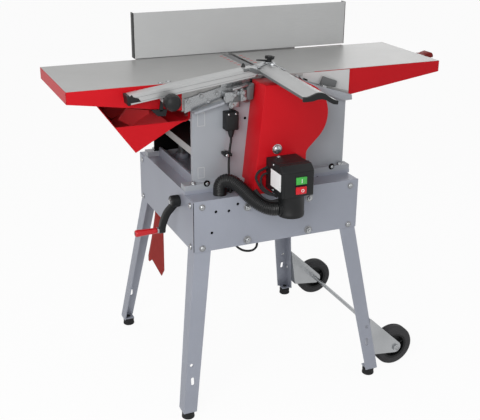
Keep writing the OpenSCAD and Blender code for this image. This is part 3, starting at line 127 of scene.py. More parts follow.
class PlanerSizes(PropertyGroup):
    """Sizes of the fittings, in millimetres."""

    head_r: size_prop("Bolt head", "Radius of a stand bolt's head", 6.2, 4, 7)
    washer_r: size_prop("Washer", "Radius of a stand bolt's washer", 8.6, 6, 10)
    hose_r: size_prop("Conduit", "Radius of the conduit between its ribs", 15.2, 8, 20)
    hose_rib: size_prop("Conduit rib", "Height of a conduit's rib", 2.2, 0.5, 3)
    cable_r: size_prop("Cable", "Radius of a cable", 3, 2, 5)
    hose_ribs: size_prop("Conduit ribs", "Number of ribs on the conduit", 50, 20, 90, IntProperty)
    spokes: size_prop("Hub spokes", "Number of spokes in a wheel's hub", 5, 3, 9, IntProperty)


# Materials; depths and radii in metres
GRAIN_DEPTH = 0.0002
SOFT_EDGE = 0.0007
BROAD_SCALE = 7
ROUGH_SPREAD = 0.06


def nodes_of(name):
    material = bpy.data.materials.new(name)
    material.use_nodes = True
    tree = material.node_tree
    return material, tree, tree.nodes["Principled BSDF"]


def put(node, values):
    for name, value in values.items():
        node.inputs[name].default_value = value


def add(tree, kind, values=None):
    """Adds a shader node with these values on its inputs."""
    node = tree.nodes.new("ShaderNode" + kind)
    put(node, values or {})
    return node


def link(source, target):
    target.id_data.links.new(source, target)


def noise(tree, scale, detail, stretch=(1, 1, 1)):
    """Noise on the piece's own coordinates."""
    mapping = add(tree, "Mapping", {"Scale": stretch})
    texture = add(tree, "TexNoise", {"Scale": scale, "Detail": detail, "Roughness": 0.55})
    link(add(tree, "TexCoord").outputs["Object"], mapping.inputs["Vector"])
    link(mapping.outputs["Vector"], texture.inputs["Vector"])
    return texture.outputs["Fac"]


def ranged(tree, value, low, high, from_low=0.3, from_high=0.7):
    node = add(tree, "MapRange", {"From Min": from_low, "From Max": from_high, "To Min": low, "To Max": high})
    link(value, node.inputs["Value"])
    return node.outputs["Result"]


def mixed(tree, share, first, second):
    """Colour between two colours, each a colour or a socket."""
    node = add(tree, "Mix")
    node.data_type = "RGBA"
    link(share, node.inputs["Factor"])
    for socket, value in ((node.inputs[6], first), (node.inputs[7], second)):
        if hasattr(value, "is_linked"):
            link(value, socket)
        else:
            socket.default_value = (*value, 1)
    return node.outputs[2]


def shade(colour, share, lift=0.0):
    return [min(1, c * share + lift) for c in colour]


def finish(name, colour, roughness, metallic=0.0, grain=800, stretch=(1, 1, 1), vary=0.07,
           smudge=0.06, bump=0.15, edge_sheen=0.0, gloss=0.5):
    """A finish with fine grain, broad uneven tone, soft edges and, if asked, edges painted lighter as a
    highlight.
    """
    material, tree, shader = nodes_of(name)
    fine = noise(tree, grain, 4, stretch)
    broad = noise(tree, BROAD_SCALE, 2)
    tone = mixed(tree, ranged(tree, fine, 0, 1), shade(colour, 1 - vary), shade(colour, 1 + vary))
    base = mixed(tree, ranged(tree, broad, 0, 1), shade(colour, 1 - smudge), tone)
    bevel = add(tree, "Bevel", {"Radius": SOFT_EDGE})
    bevel.samples = 4
    if edge_sheen:
        base = edge_highlight(tree, base, bevel, colour, edge_sheen)
    link(base, shader.inputs["Base Color"])
    rough = ranged(tree, fine, roughness - ROUGH_SPREAD, roughness + ROUGH_SPREAD)
    link(rough, shader.inputs["Roughness"])
    height = add(tree, "Bump", {"Strength": bump, "Distance": GRAIN_DEPTH})
    link(fine, height.inputs["Height"])
    link(bevel.outputs["Normal"], height.inputs["Normal"])
    link(height.outputs["Normal"], shader.inputs["Normal"])
    put(shader, {"Metallic": metallic, "Specular IOR Level": gloss})
    return material


def edge_highlight(tree, base, bevel, colour, edge_sheen):
    """Painted highlight: edges a little lighter, where the soft normal leaves the true one."""
    geometry = add(tree, "NewGeometry")
    dot = add(tree, "VectorMath")
    dot.operation = "DOT_PRODUCT"
    link(bevel.outputs["Normal"], dot.inputs[0])
    link(geometry.outputs["True Normal"], dot.inputs[1])
    sheen_share = ranged(tree, dot.outputs["Value"], edge_sheen, 0, 0.8, 0.985)
    return mixed(tree, sheen_share, base, shade(colour, 1.25, 0.05))


FINISHES = {}


def make_finishes(tone):
    """All finishes of the machine, by their plain names."""
    along_x, along_y, along_z = (0.05, 1, 1), (1, 0.05, 1), (1, 1, 0.08)
    ground = {"grain": 1000, "vary": 0.05, "bump": 0.06}
    bright = {"grain": 1200, "vary": 0.05, "bump": 0.05}
    moulded = {"grain": 900, "vary": 0.04, "bump": 0.05}
    soft = {"grain": 1400, "vary": 0.12, "bump": 0.3, "gloss": 0.2}
    coat = {"grain": 1300, "vary": 0.05, "bump": 0.1}
    FINISHES.update({
        "panel": finish("panel_powder_coat", tone.panel_grey, 0.42, 0.25, 1500, edge_sheen=0.5, gloss=0.35),
        "plate": finish("plate_paint", tone.plate_grey, 0.45, 0.1, 1100, edge_sheen=0.35, gloss=0.35),
        "red": finish("red_powder_coat", tone.paint_red, 0.4, smudge=0.05, edge_sheen=0.2, gloss=0.14, **coat),
        # Painted light: a paler copy of the red paint for the inside of the hood, where little light falls.
        "painted_light_red": finish("hood_inside_painted_light", shade(tone.paint_red, 1.6, 0.05), 0.4, gloss=0.3, **coat),
        # Painted shade: a darkened red for the depth lever and its rest.
        "lever": finish("lever_paint_shaded", tone.lever_red_shaded, 0.5, grain=1300, vary=0.06, bump=0.1, gloss=0.1),
        "ground": finish("ground_table", tone.ground_grey, 0.42, 0.3, 900, along_x, vary=0.06,
                         smudge=0.08, bump=0.08),
        "anodised": finish("anodised_profile", tone.anodised, 0.36, 0.6, stretch=along_x, smudge=0.05,
                           **ground),
        "fence": finish("fence_face", tone.fence_grey, 0.5, 0.2, stretch=along_x, smudge=0.05, **ground),
        # Painted shade: the guard is a darker copy of the anodised, to offset the light on its upturned face.
        "guard": finish("anodised_guard_shaded", shade(tone.anodised, 0.82), 0.36, 0.6, stretch=along_y, **ground),
        "pale": finish("pale_casting", tone.pale_grey, 0.5, 0.1, 900, vary=0.04, bump=0.06),
        # Painted shade: the near-black thicknesser top.
        "painted_shade_iron": finish("painted_shade_casting", tone.painted_shade_iron, 0.6, 0.1, 700, vary=0.08, bump=0.1, gloss=0.1),
        "block": finish("grey_casting", tone.block_grey, 0.4, 0.3, 700, vary=0.06, bump=0.12, edge_sheen=0.4,
                        gloss=0.3),
        "zinc": finish("bright_zinc", tone.zinc, 0.24, 0.9, smudge=0.16, **bright),
        "plated": finish("plated_bracket", shade(tone.zinc, 0.8), 0.28, 0.85, smudge=0.12, **bright),
        "steel": finish("turned_steel", tone.steel, 0.32, 0.85, 1200, along_y, vary=0.08, bump=0.08),
        "black": finish("black_plastic", tone.black, 0.46, grain=1800, vary=0.12, bump=0.25, edge_sheen=0.2,
                        gloss=0.22),
        "hose": finish("conduit_plastic", shade(tone.black, 0.7), 0.36, grain=900, vary=0.1, bump=0.05,
                       gloss=0.3),
        "rubber": finish("black_rubber", tone.rubber, 0.72, **soft),
        "tyre": finish("tyre_rubber", shade(tone.rubber, 2.4), 0.7, **soft),
        "grip": finish("grip_plastic", tone.paint_red, 0.26, gloss=0.45, **moulded),
        "stop": finish("stop_plastic", tone.stop_red, 0.3, gloss=0.3, **moulded),
        "start": finish("start_plastic", tone.start_green, 0.3, gloss=0.3, **moulded),
        "board": finish("painted_board", tone.board_red, 0.55, 0.0, 500, along_z, vary=0.14,
                        smudge=0.12, bump=0.3, edge_sheen=0.3, gloss=0.2),
        "white": finish("white_plate", tone.mark_white, 0.5, grain=900, vary=0.02, smudge=0.02, bump=0.02),
        # Painted shade: a near black for holes, slots and the body's inside, where only shade falls.
        "painted_shade": finish("painted_shade_recess", shade(tone.black, 0.3), 0.8, grain=900, vary=0.05, bump=0.05,
                       gloss=0.05),
    })


# Finishes of the CAD nodes that stay in sight
CAD_FINISHES = {
    "panel": ("stand_front_panel", "stand_rear_panel", "stand_left_panel", "stand_right_panel",
              "leg_front_left", "leg_front_right", "leg_rear_left", "leg_rear_right", "body_base"),
    "plate": ("body_front_plate", "body_rear_plate"),
    "red": ("rear_cover", "outfeed_skirt", "infeed_skirt", "chip_hood"),
    "lever": ("depth_lever",),
    "ground": ("outfeed_table", "infeed_table", "thicknesser_table"),
    "anodised": ("guard_arm",),
    "fence": ("fence_plate",),
    "zinc": ("wheel_brackets", "wheel_axle", "fence_yoke", "fence_holder", "cross_bars", "planer_knives"),
    "steel": ("shaft_bearings", "cutterblock", "cutter_pulley", "motor_pulley", "infeed_roller",
              "outfeed_roller", "kickback_fingers", "guide_posts", "lift_screw", "lift_nut", "crank_shaft"),
    "black": ("motor", "feed_chain"),
    "rubber": ("drive_belt",),
    "board": ("push_stick",),
}


# Modelling helpers; shapes are given in millimetres
def set_mode(mode):
    bpy.ops.object.mode_set(mode=mode)


def select_none():
    if bpy.context.object and bpy.context.object.mode != "OBJECT":
        set_mode("OBJECT")
    bpy.ops.object.select_all(action="DESELECT")


def round_edges(width, steps=2, sharp=30):
    """Bevels the sharp edges of the active mesh."""
    set_mode("EDIT")
    bpy.ops.mesh.select_mode(type="EDGE")
    bpy.ops.mesh.select_all(action="DESELECT")
    bpy.ops.mesh.edges_select_sharp(sharpness=math.radians(sharp))
    bpy.ops.mesh.bevel(offset=width * MM, segments=steps, affect="EDGES", clamp_overlap=True)
    set_mode("OBJECT")


def mend_normals():
    set_mode("EDIT")
    bpy.ops.mesh.select_all(action="SELECT")
    bpy.ops.mesh.remove_doubles(threshold=1e-6)
    bpy.ops.mesh.normals_make_consistent(inside=False)
    set_mode("OBJECT")


def round_curve(way, r, resolution):
    """A round curve through points in metres, as the active object."""
    select_none()
    bpy.ops.curve.primitive_nurbs_path_add()
    piece = bpy.context.object
    curve = piece.data
    curve.splines.clear()
    spline = curve.splines.new("POLY")
    spline.points.add(len(way) - 1)
    for spot, p in zip(spline.points, way):
        spot.co = (*p, 1)
    curve.dimensions = "3D"
    curve.bevel_depth = r * MM
    curve.bevel_resolution = resolution
    curve.use_fill_caps = True
    return piece


class Piece:
    """Collects shapes in machine millimetres, then joins and settles them on a body."""

    def __init__(self, name, place=(0, 0, 0), turn=(0, 0, 0)):
        self.name = name
        self.parts = []
        self.matrix = Matrix.Translation(at(*place)) @ Euler(turn).to_matrix().to_4x4()

    def take(self, local):
        """Puts the new part in place and applies the place to its mesh."""
        part = bpy.context.object
        part.matrix_world = self.matrix @ local
        bpy.ops.object.transform_apply(location=True, rotation=True, scale=True)
        self.parts.append(part)

    def block(self, low, high, edge=0.0, steps=2):
        select_none()
        bpy.ops.mesh.primitive_cube_add(size=1)
        middle = [(a + b) / 2 * MM for a, b in zip(low, high)]
        scale = [(b - a) * MM for a, b in zip(low, high)]
        self.take(Matrix.Translation(middle) @ Matrix.Diagonal((*scale, 1)))
        if edge:
            round_edges(edge, steps)
        return self

    def rod(self, start, end, r, edge=0.0, sides=32, end_r=None, steps=2):
        select_none()
        a, b = Vector(start) * MM, Vector(end) * MM
        bpy.ops.mesh.primitive_cone_add(vertices=sides, radius1=r * MM, depth=(b - a).length,
                                        radius2=(r if end_r is None else end_r) * MM)
        self.take(Matrix.Translation((a + b) / 2) @ (b - a).to_track_quat("Z", "Y").to_matrix().to_4x4())
        if edge:
            round_edges(edge, steps, 50)
        return self

    def turned(self, start, axis, profile, sides=40):
        """A profile of (radius, height) pairs spun round an axis."""
        select_none()
        bpy.ops.mesh.primitive_plane_add(size=MM)
        set_mode("EDIT")
        bpy.ops.mesh.select_mode(type="VERT")
        bpy.ops.mesh.select_all(action="SELECT")
        bpy.ops.mesh.merge(type="CENTER")
        points = [Vector((r * MM, 0, h * MM)) for r, h in profile]
        bpy.ops.transform.translate(value=points[0])
        for before, after in zip(points, points[1:]):
            bpy.ops.mesh.extrude_vertices_move(TRANSFORM_OT_translate={"value": after - before})
        bpy.ops.mesh.select_all(action="SELECT")
        bpy.ops.mesh.spin(steps=sides, angle=2 * math.pi, center=(0, 0, 0), axis=UP)
        set_mode("OBJECT")
        mend_normals()
        turn = Vector(axis).to_track_quat("Z", "Y").to_matrix().to_4x4()
        self.take(Matrix.Translation(Vector(start) * MM) @ turn)
        return self

    def prism(self, outline, base, across, up, depth, edge=0.0, steps=2, sharp=30):
        """An outline in two directions, extruded square to them."""
        select_none()
        bpy.ops.mesh.primitive_circle_add(vertices=len(outline), fill_type="NGON")
        part = bpy.context.object
        u, v = Vector(across), Vector(up)
        for corner, (a, b) in zip(part.data.vertices, outline):
            corner.co = (Vector(base) + a * u + b * v) * MM
        set_mode("EDIT")
        bpy.ops.mesh.select_all(action="SELECT")
        step = u.cross(v) * depth * MM
        bpy.ops.mesh.extrude_region_move(TRANSFORM_OT_translate={"value": step})
        set_mode("OBJECT")
        mend_normals()
        self.take(Matrix.Identity(4))
        if edge:
            round_edges(edge, steps, sharp)
        return self

    def plate(self, outline, y, depth, edge=0.0, steps=2, sharp=30):
        """An outline in X and Z, extruded from a Y towards the front."""
        return self.prism(outline, (0, y, 0), RIGHT, UP, depth, edge, steps, sharp)

    def border(self, low, high, y0, y1, wide, tall, edge):
        """Four bars round a rectangle in X and Z."""
        (x0, z0), (x1, z1) = low, high
        for a, b in (((x0, z0), (x1, z0 + tall)), ((x0, z1 - tall), (x1, z1)),
                     ((x0, z0), (x0 + wide, z1)), ((x1 - wide, z0), (x1, z1))):
            self.block((a[0], y0, a[1]), (b[0], y1, b[1]), edge, 1)
        return self

    def tube(self, points, r):
        """A smooth round tube through points."""
        round_curve([p * MM for p in smooth(points, 8)], r, 2)
        bpy.ops.object.convert(target="MESH")
        self.take(Matrix.Identity(4))
        return self

    def washer(self, base, axis, r, h=1.4, edge=0.4):
        """A washer on a face; gives the place on top of it."""
        top = Vector(base) + Vector(axis) * h
        self.rod(base, top, r, edge, 24)
        return top

    def bolt(self, base, axis, r, h, washer=0.0):
        """Washer, chamfered head and a shallow crown, standing on a face."""
        foot = self.washer(base, axis, washer) if washer else Vector(base)
        neck = foot + Vector(axis) * h * 0.8
        self.rod(foot, neck, r, 0.0, 6)
        return self.rod(neck, foot + Vector(axis) * h, r, 0.0, 6, r * 0.8)

    def dome(self, base, axis, r, h, washer=0.0):
        """A round-headed screw with a socket."""
        foot = self.washer(base, axis, washer, 1.2, 0.3) if washer else base
        crown = [(r * math.cos(a), h * math.sin(a)) for a in (0, 0.35, 0.7, 1.0, 1.25)]
        socket = r * 0.3
        hole = [(socket, h * 0.97), (socket * 0.9, h * 0.4), (0, h * 0.4)]
        return self.turned(foot, axis, [(r, 0), *crown, *hole], 24)

    def done(self, finish_name, body="frame", *nodes, slot=None, smooth_angle=35):
        """Joins the shapes, gives them their finish and lets them ride on a body."""
        select_none()
        for part in self.parts:
            part.select_set(True)
        bpy.context.view_layer.objects.active = self.parts[0]
        if len(self.parts) > 1:
            bpy.ops.object.join()
        piece = bpy.context.object
        bpy.ops.object.shade_smooth_by_angle(angle=math.radians(smooth_angle))
        settle(piece, self.name, finish_name, body, nodes)


def settle(piece, name, finish_name, body, nodes=()):
    """Names a piece and gives it its finish, body and replaced nodes."""
    piece.name = piece.data.name = name
    piece.data.materials.clear()
    piece.data.materials.append(FINISHES[finish_name])
    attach(piece, body)
    if nodes:
        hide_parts(*nodes)


def smooth(points, steps):
    """Points of a smooth curve through the given ones."""
    spots = [Vector(p) for p in points]
    way = []
    for i in range(len(spots) - 1):
        a, b = spots[max(i - 1, 0)], spots[i]
        c, d = spots[i + 1], spots[min(i + 2, len(spots) - 1)]
        for k in range(steps):
            f = k / steps
            way.append(b + f * (c - a) / 2 + f * f * (a - 2.5 * b + 2 * c - d / 2)
                       + f ** 3 * (1.5 * (b - c) + (d - a) / 2))
    return [*way, spots[-1]]


def arc(x, z, r, start, end, count):
    """Points of an arc, by angles in degrees."""
    steps = [math.radians(start + (end - start) * i / count) for i in range(count + 1)]
    return [(x + r * math.cos(a), z + r * math.sin(a)) for a in steps]


# Cord routes, close to the frame's own solids
CABLE_ROUTE = [(-112, -164, 720.6), (-112, -164, 710), (-116, -166, 690.1), (-120, -170, 660.1),
               (-123, -178, 630), (-124, -186, 605.9), (-124, -190, 590), (-124, -190, 560)]
LOOP_ROUTE = [(-153, -190, 572), (-153, -190, 550), (-148, -194, 510.1), (-134, -198, 470),
              (-114, -200, 440), (-98, -200, 424), (-79.9, -200, 416), (-61.9, -200, 416),
              (-49.9, -196, 424), (-44.9, -185, 437.1), (-42.9, -172, 449.1), (-41.9, -158, 460),
              (-41.9, -145, 468.1)]
HOSE_ROUTE = [(-153, -190, 562), (-153, -190, 576), (-152.9, -190, 590), (-152.2, -190.4, 603),
              (-149, -192.6, 612.6), (-142.5, -197.4, 619), (-134, -205, 621), (-123, -215.4, 616.6),
              (-110, -229, 604.4), (-96.5, -245, 588.6), (-83, -260, 575.4), (-68, -273, 566),
              (-51, -281, 560.6), (-36, -283, 559)]


def cable_piece(name, route, r):
    """A plain round cable as one open curve."""
    way = [at(*p) for p in smooth(route, 6)]
    piece = round_curve(way, r, 3)
    settle(piece, name, "rubber", "frame")
    return piece


def ribbed_hose(name, route, r, rib, ribs):
    """A corrugated conduit: rings of a grid laid along the route, closed into a tube."""
    sides, per_rib = 24, 5
    way = smooth(route, 24)
    lengths = [0.0]
    for a, b in zip(way, way[1:]):
        lengths.append(lengths[-1] + (b - a).length)
    count = ribs * per_rib
    rings = []
    k = 0
    for i in range(count + 1):
        want = lengths[-1] * i / count
        while k < len(way) - 2 and lengths[k + 1] < want:
            k += 1
        f = (want - lengths[k]) / (lengths[k + 1] - lengths[k])
        rings.append((way[k].lerp(way[k + 1], f), (way[k + 1] - way[k]).normalized()))
    select_none()
    bpy.ops.mesh.primitive_grid_add(x_subdivisions=sides, y_subdivisions=count, size=1)
    piece = bpy.context.object
    side = Vector(BACK)
    for i, (spot, along) in enumerate(rings):
        side = (side - side.dot(along) * along).normalized()
        other = along.cross(side)
        swell = r + (rib if i % per_rib in (1, 2, 3) else 0)
        for j in range(sides + 1):
            a = 2 * math.pi * j / sides
            p = spot + swell * (math.cos(a) * side + math.sin(a) * other)
            piece.data.vertices[i * (sides + 1) + j].co = at(*p)
    mend_normals()
    bpy.ops.object.shade_smooth()
    settle(piece, name, "hose", "frame", ("conduit_hose",))


class PLANER_OT_finishes(Operator):
    """Gives every CAD node in sight its finish"""

    bl_idname = "planer.finishes"
    bl_label = "Finishes"

    def execute(self, context):
        make_finishes(context.scene.planer_colours)
        for name, nodes in CAD_FINISHES.items():
            for node in nodes:
                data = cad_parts[node].data
                data.materials.clear()
                data.materials.append(FINISHES[name])
        return {"FINISHED"}


class PLANER_OT_cords(Operator):
    """Lays the limit switch's cable, the loop under the stand and the conduit"""

    bl_idname = "planer.cords"
    bl_label = "Cords"

    def execute(self, context):
        size = context.scene.planer_sizes
        cable = cable_piece("switch_cable", CABLE_ROUTE, size.cable_r)
        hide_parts("cables")
        cable_piece("stand_loop", LOOP_ROUTE, size.cable_r)
        ribbed_hose("conduit", HOSE_ROUTE, size.hose_r, size.hose_rib, size.hose_ribs)
        return {"FINISHED"}


class PLANER_OT_bolts(Operator):
    """Bolts the stand together and hangs the hook of the push stick"""

    bl_idname = "planer.bolts"
    bl_label = "Stand bolts"

    def execute(self, context):
        size = context.scene.planer_sizes
        bolts, washers = Piece("stand_fasteners"), Piece("stand_washers")
        corner_x, corner_y, pair_x = 212.4, 198, 88.5

        def on_washer(base, axis):
            """Lays a washer on a panel, and gives the place of the head on it."""
            return washers.washer(base, axis, size.washer_r), axis

        for sign in (-1, 1):
            x, y = corner_x * sign, corner_y * sign
            for z in (453.7, 565.4):
                bolts.dome(*on_washer((x, PANEL_Y, z), FRONT), size.head_r, 3.6)
                bolts.bolt(*on_washer((x, -PANEL_Y, z), BACK), size.head_r, 4)
                bolts.dome(*on_washer((PANEL_X, y, z), LEFT), size.head_r, 3.6)
                bolts.bolt(*on_washer((-PANEL_X, y, z), RIGHT), size.head_r, 4)
            pair = pair_x * sign
            for z in (457.8, 548.9):
                washers.rod((pair, PANEL_Y, z), (pair, PANEL_Y - 1.6, z), 11, 0.4, 28)
                bolts.bolt((pair, PANEL_Y - 1.6, z), FRONT, 8, 6.5)
                bolts.rod((pair, PANEL_Y - 8, z), (pair, PANEL_Y - 11, z), 4, 0.6, 20)
            for y in (-156.5, 156.5):
                bolts.bolt((x, y, FOOT_Z), UP, 6.5, 5, 8.4)
        bolts.bolt((WHEEL_X, -268, WHEEL_Z), FRONT, 10, 7)
        bolts.rod((WHEEL_X, -275, WHEEL_Z), (WHEEL_X, -276, WHEEL_Z), 6, 0.4, 24)
        bolts.bolt((WHEEL_X, 261.9, WHEEL_Z), BACK, 10, 7.6)
        bolts.rod((-234, 141.7, 512), (-204, 141.7, 512), 3, 0.0, 20)
        bolts.rod((-204, 137.7, 512), (-204, 163.7, 512), 4, 0.8, 24)
        bolts.done("zinc", "frame", "stand_bolts")
        washers.done("steel")
        return {"FINISHED"}


class PLANER_OT_feet(Operator):
    """Moulds the four rubber feet"""

    bl_idname = "planer.feet"
    bl_label = "Feet"

    def execute(self, context):
        feet = Piece("feet_rubber")
        profile = [(0, 0), (15.6, 0), (17, 1.4), (17, 5), (16.2, 6), (16.2, 13), (16.6, 14),
                   (16.4, 19.5), (15, 21.9), (6, 21.9), (6, 27), (5, 28), (0, 28)]
        for x in (-276, 276):
            for y in (-272, 272):
                feet.turned((x, y, 0), UP, profile, 36)
        feet.done("rubber", "frame", "rubber_feet")
        return {"FINISHED"}


def wheel_tyre(body, middle):
    half = [(38.5, 0.8), (40, 0), (51, 0), (54.5, 0.9), (57.2, 3), (58.6, 6), (59, 9.6), (58.2, 10),
            (58.2, 11), (59, 11.4)]
    profile = half + [(r, WHEEL_W - h) for r, h in reversed(half)]
    tyre = Piece(body + "_tyre").turned(middle, BACK, [*profile, half[0]], 64)
    tyre.done("tyre", body, body, smooth_angle=40)


def wheel_hub(body, middle, spokes):
    w, half = WHEEL_W, WHEEL_W / 2
    hub = Piece(body + "_hub")
    rim = [(33, 2), (38.4, 1), (38.4, w - 1), (33, w - 2), (33, 2)]
    boss = [(6.2, 0), (13, 0), (14, 1), (14, w - 1), (13, w), (6.2, w), (6.2, 0)]
    web = [(12, half - 3), (35, half - 3), (35, half + 3), (12, half + 3), (12, half - 3)]
    for profile in (rim, boss, web):
        hub.turned(middle, BACK, profile, 48)
    foot = Vector(middle) + Vector((0, 5, 0))
    for i in range(spokes):
        a = 2 * math.pi * i / spokes + 0.3
        way = Vector((math.cos(a), 0, math.sin(a)))
        side = Vector((-math.sin(a), 0, math.cos(a)))
        hub.prism([(13, -2.2), (33.6, -1.6), (33.6, 1.6), (13, 2.2)], foot, way, side, 10 - w, 0.8, 1)
    hub.done("black", body)


class PLANER_OT_wheels(Operator):
    """Builds each wheel from a tyre and a spoked hub"""

    bl_idname = "planer.wheels"
    bl_label = "Wheels"

    def execute(self, context):
        spokes = context.scene.planer_sizes.spokes
        for body, y in zip(("front_wheel", "rear_wheel"), WHEEL_YS):
            wheel_tyre(body, (WHEEL_X, y, WHEEL_Z))
            wheel_hub(body, (WHEEL_X, y, WHEEL_Z), spokes)
        return {"FINISHED"}


def ribbon(line, first, last):
    """Outline of a bar along a line in X and Z, from one half width to another."""
    left, right = [], []
    for i, p in enumerate(line):
        way = (line[min(i + 1, len(line) - 1)] - line[max(i - 1, 0)]).normalized()
        half = first + (last - first) * i / (len(line) - 1)
        left.append((p.x - way.z * half, p.z + way.x * half))
        right.append((p.x + way.z * half, p.z - way.x * half))
    return left + right[::-1]


class PLANER_OT_crank(Operator):
    """Casts the crank's curved arm and turns its grip"""

    bl_idname = "planer.crank"
    bl_label = "Crank"

    def execute(self, context):
        y, z, grip_z = -117, 551, 477
        boss = [(8.1, 0), (13.5, 0), (16, 2), (16, 21), (14, 23.6), (8.1, 23.6), (8.1, 0)]
        line = smooth([(-250, 0, 544), (-258, 0, 535), (-270, 0, 522), (-279, 0, 503), (-284, 0, 486),
                       (-285, 0, 474)], 5)
        arm = Piece("crank_casting").turned((-237.2, y, z), LEFT, boss, 40)
        arm.plate(ribbon(line, 9, 7.6), y + 8, 16, 3.4, 3)
        arm.rod((-277.5, y, grip_z), (-293, y, grip_z), 9.4, 1.4, 36)
        arm.rod((-292, y, grip_z), (-358, y, grip_z), 3.95, 0.6, 24)
        arm.done("black", "crank", "crank_arm")
        handle = [(4.1, 5), (7, 5), (7.8, 6), (7.8, 14), (8, 26), (8.6, 40), (9.3, 52), (9.5, 58), (9, 62),
                  (7, 63.8), (4.1, 63.8), (4.1, 5)]
        grip = Piece("crank_handle").turned((-294, y, grip_z), LEFT, handle, 40)
        grip.done("grip", "grip", "crank_grip", smooth_angle=50)
        ring = [(4.1, 0), (6.6, 0), (7.4, 0.8), (7.4, 5.2), (4.1, 5.2), (4.1, 0)]
        Piece("grip_ferrule").turned((-293.4, y, grip_z), LEFT, ring, 32).done("zinc", "grip")
        Piece("crank_screw").bolt((-260.8, y, z), LEFT, 6.4, 3).done("zinc", "crank")
        return {"FINISHED"}


def button_marks():
    """Plain on and off strokes on the two buttons."""
    Piece("start_mark").block((6.2, -331, 637.5), (7.8, -330.2, 647.5), 0.2, 1).done("white", "start")
    ring = [(2.9, 0), (4.2, 0), (4.2, 0.8), (2.9, 0.8), (2.9, 0)]
    Piece("stop_mark").turned((10, -330.2, 617.4), FRONT, ring, 32).done("white", "stop")


def switch_leads():
    """Short leads between the box, the cover and the collar."""
    leads = Piece("switch_leads")
    leads.tube([(-42, -236, 656), (-53, -236, 652), (-68, -238, 646), (-75.7, -240, 634),
                (-72, -244, 620), (-62, -250, 602), (-48, -260, 592), (-29, -268, 590)], 3.2)
    leads.tube([(-42, -238, 640), (-54, -238, 638), (-62, -240, 628), (-62, -246, 612),
                (-50, -256, 598), (-28, -268, 584)], 3)
    leads.tube([(-78, -241, 601), (-74, -250, 591), (-64, -262, 581), (-50, -271, 575),
                (-30, -277, 577)], 5.4)
    leads.done("rubber")


class PLANER_OT_switch(Operator):
    """Builds the switch box with its lid, collar, screws and buttons"""

    bl_idname = "planer.switch"
    bl_label = "Switch"

    def execute(self, context):
        side_x = -43.5
        box = Piece("switch_case").block((side_x, -304, 599), (41, -228, 680), 3.0, 3)
        box.block((-42, -300, 598), (42, -292, 681), 1.2)
        lid = [(-300, 599), (-325, 600), (-325, 667), (-309, 680), (-300, 680)]
        box.prism(lid, (side_x, 0, 0), BACK, UP, 86.5, 2.2, 3)
        box.block((-38, -326.6, 604), (39, -323, 663), 1.0)
        box.turned((3, -283, 537), UP, [(0, 0), (30, 0), (33, 1), (34, 3), (34, 11), (33.4, 12), (33.4, 54),
                                        (34, 55), (34, 63), (0, 63)], 48)
        box.turned((3, -283, 559), LEFT, [(0, 20), (17.5, 20), (17.5, 29), (16.4, 30), (16.4, 32),
                                          (17.5, 33), (17.5, 38.4), (16, 39), (0, 39)], 36)
        for low in (604, 629.2):
            box.border((-10.5, low), (24.5, low + 27), -327, -319, 2.4, 2.6, 0.5)
        box.done("black", "frame", "switch_box")
        screws = Piece("switch_screws")
        for z in (606.5, 672.5):
            screws.dome((side_x, -272, z), LEFT, 3.2, 1.8)
        screws.dome((-14, -240, 680), UP, 4.4, 2.4, 6).done("zinc")
        Piece("bare_plate").block((-44.2, -316, 615), (-43.3, -259, 659.4), 0.3, 1).done("white")
        switch_leads()
        for body, low in (("start", 633), ("stop", 608)):
            key = Piece(body + "_key").block((-7.4, -330, low + 0.1), (21.4, -319, low + 18.9), 1.4, 3)
            key.block((-3.5, -330.5, low + 3), (17.5, -329, low + 16), 0.6)
            key.done(body, body, body + "_button")
        button_marks()
        return {"FINISHED"}


class PLANER_OT_limit_switch(Operator):
    """Builds the limit switch with its screws and gland"""

    bl_idname = "planer.limit_switch"
    bl_label = "Limit switch"

    def execute(self, context):
        case = Piece("limit_case").block((-129, -174, 741), (-95, PLATE_Y, 788), 2, 3)
        case.block((-127, -175.2, 744), (-97, -172, 779), 1.0)
        case.rod((-112, -161, 787.5), (-112, -161, 797), 4, 0.8, 24)
        gland = [(0, 0), (9.4, 0), (9.4, 4), (8, 4.4), (7.6, 9), (7.0, 9.2), (7.0, 10.4), (7.2, 10.6),
                 (6.6, 13), (6.0, 13.2), (6.0, 14.4), (5.6, 17), (4.2, 19.6), (3.1, 20), (0, 20)]
        case.turned((-112, -164, 741), DOWN, gland, 32)
        case.done("black", "frame", "limit_switch")
        screws = Piece("limit_screws")
        for x in (-122, -103):
            screws.dome((x, -174, 783), FRONT, 3, 1.8)
        screws.done("zinc")
        return {"FINISHED"}


class PLANER_OT_hood(Operator):
    """Adds the ribs, the liner and the rim inside the chip hood, in a paler red that paints light on its
    shaded inside
    """

    bl_idname = "planer.hood"
    bl_label = "Hood ribs"

    def execute(self, context):
        left, right = ((-333.6, 776.5), (-357, 748)), ((-274.7, 766.6), (-316, 727.4))
        ribs = Piece("hood_ribs")
        ribs.plate([(-366, 828), (-366, 738), (-345, 722), (-290, 744), (-290, 828)], 110, 2, 0.4, 1)
        ribs.plate([*left, (-323, 728), right[1], (-272, 753.4), right[0]], 0, 2, 0.4, 1)
        for start, end in (left, right):
            ribs.rod((start[0], 1, start[1]), (end[0], 1, end[1]), 2, 0.0, 16)
        ribs.plate([(-350, 714.8), (-262.6, 763.4), (-262.6, 764.6), (-350, 716)], 108, 238)
        ribs.block((-362, -137.4, 766.6), (-222, -133, 769.4), 0.5, 1)
        ribs.done("painted_light_red", "hood")
        return {"FINISHED"}


def table_lips(table, body, x, z):
    """Teeth of a table's lip, painted and bare in turn."""
    paint, bare = Piece(table + "_lip_paint"), Piece(table + "_lip_filling")
    for i in range(-10, 11):
        row, half = (paint, 2.8) if i % 2 else (bare, 1.95)
        row.block((x + 0.05, i * 12 - half, z - 6), (x + 9.95, i * 12 + half, z + 0.04), 0.2, 1)
    paint.done("red", body)
    bare.done("ground", body)


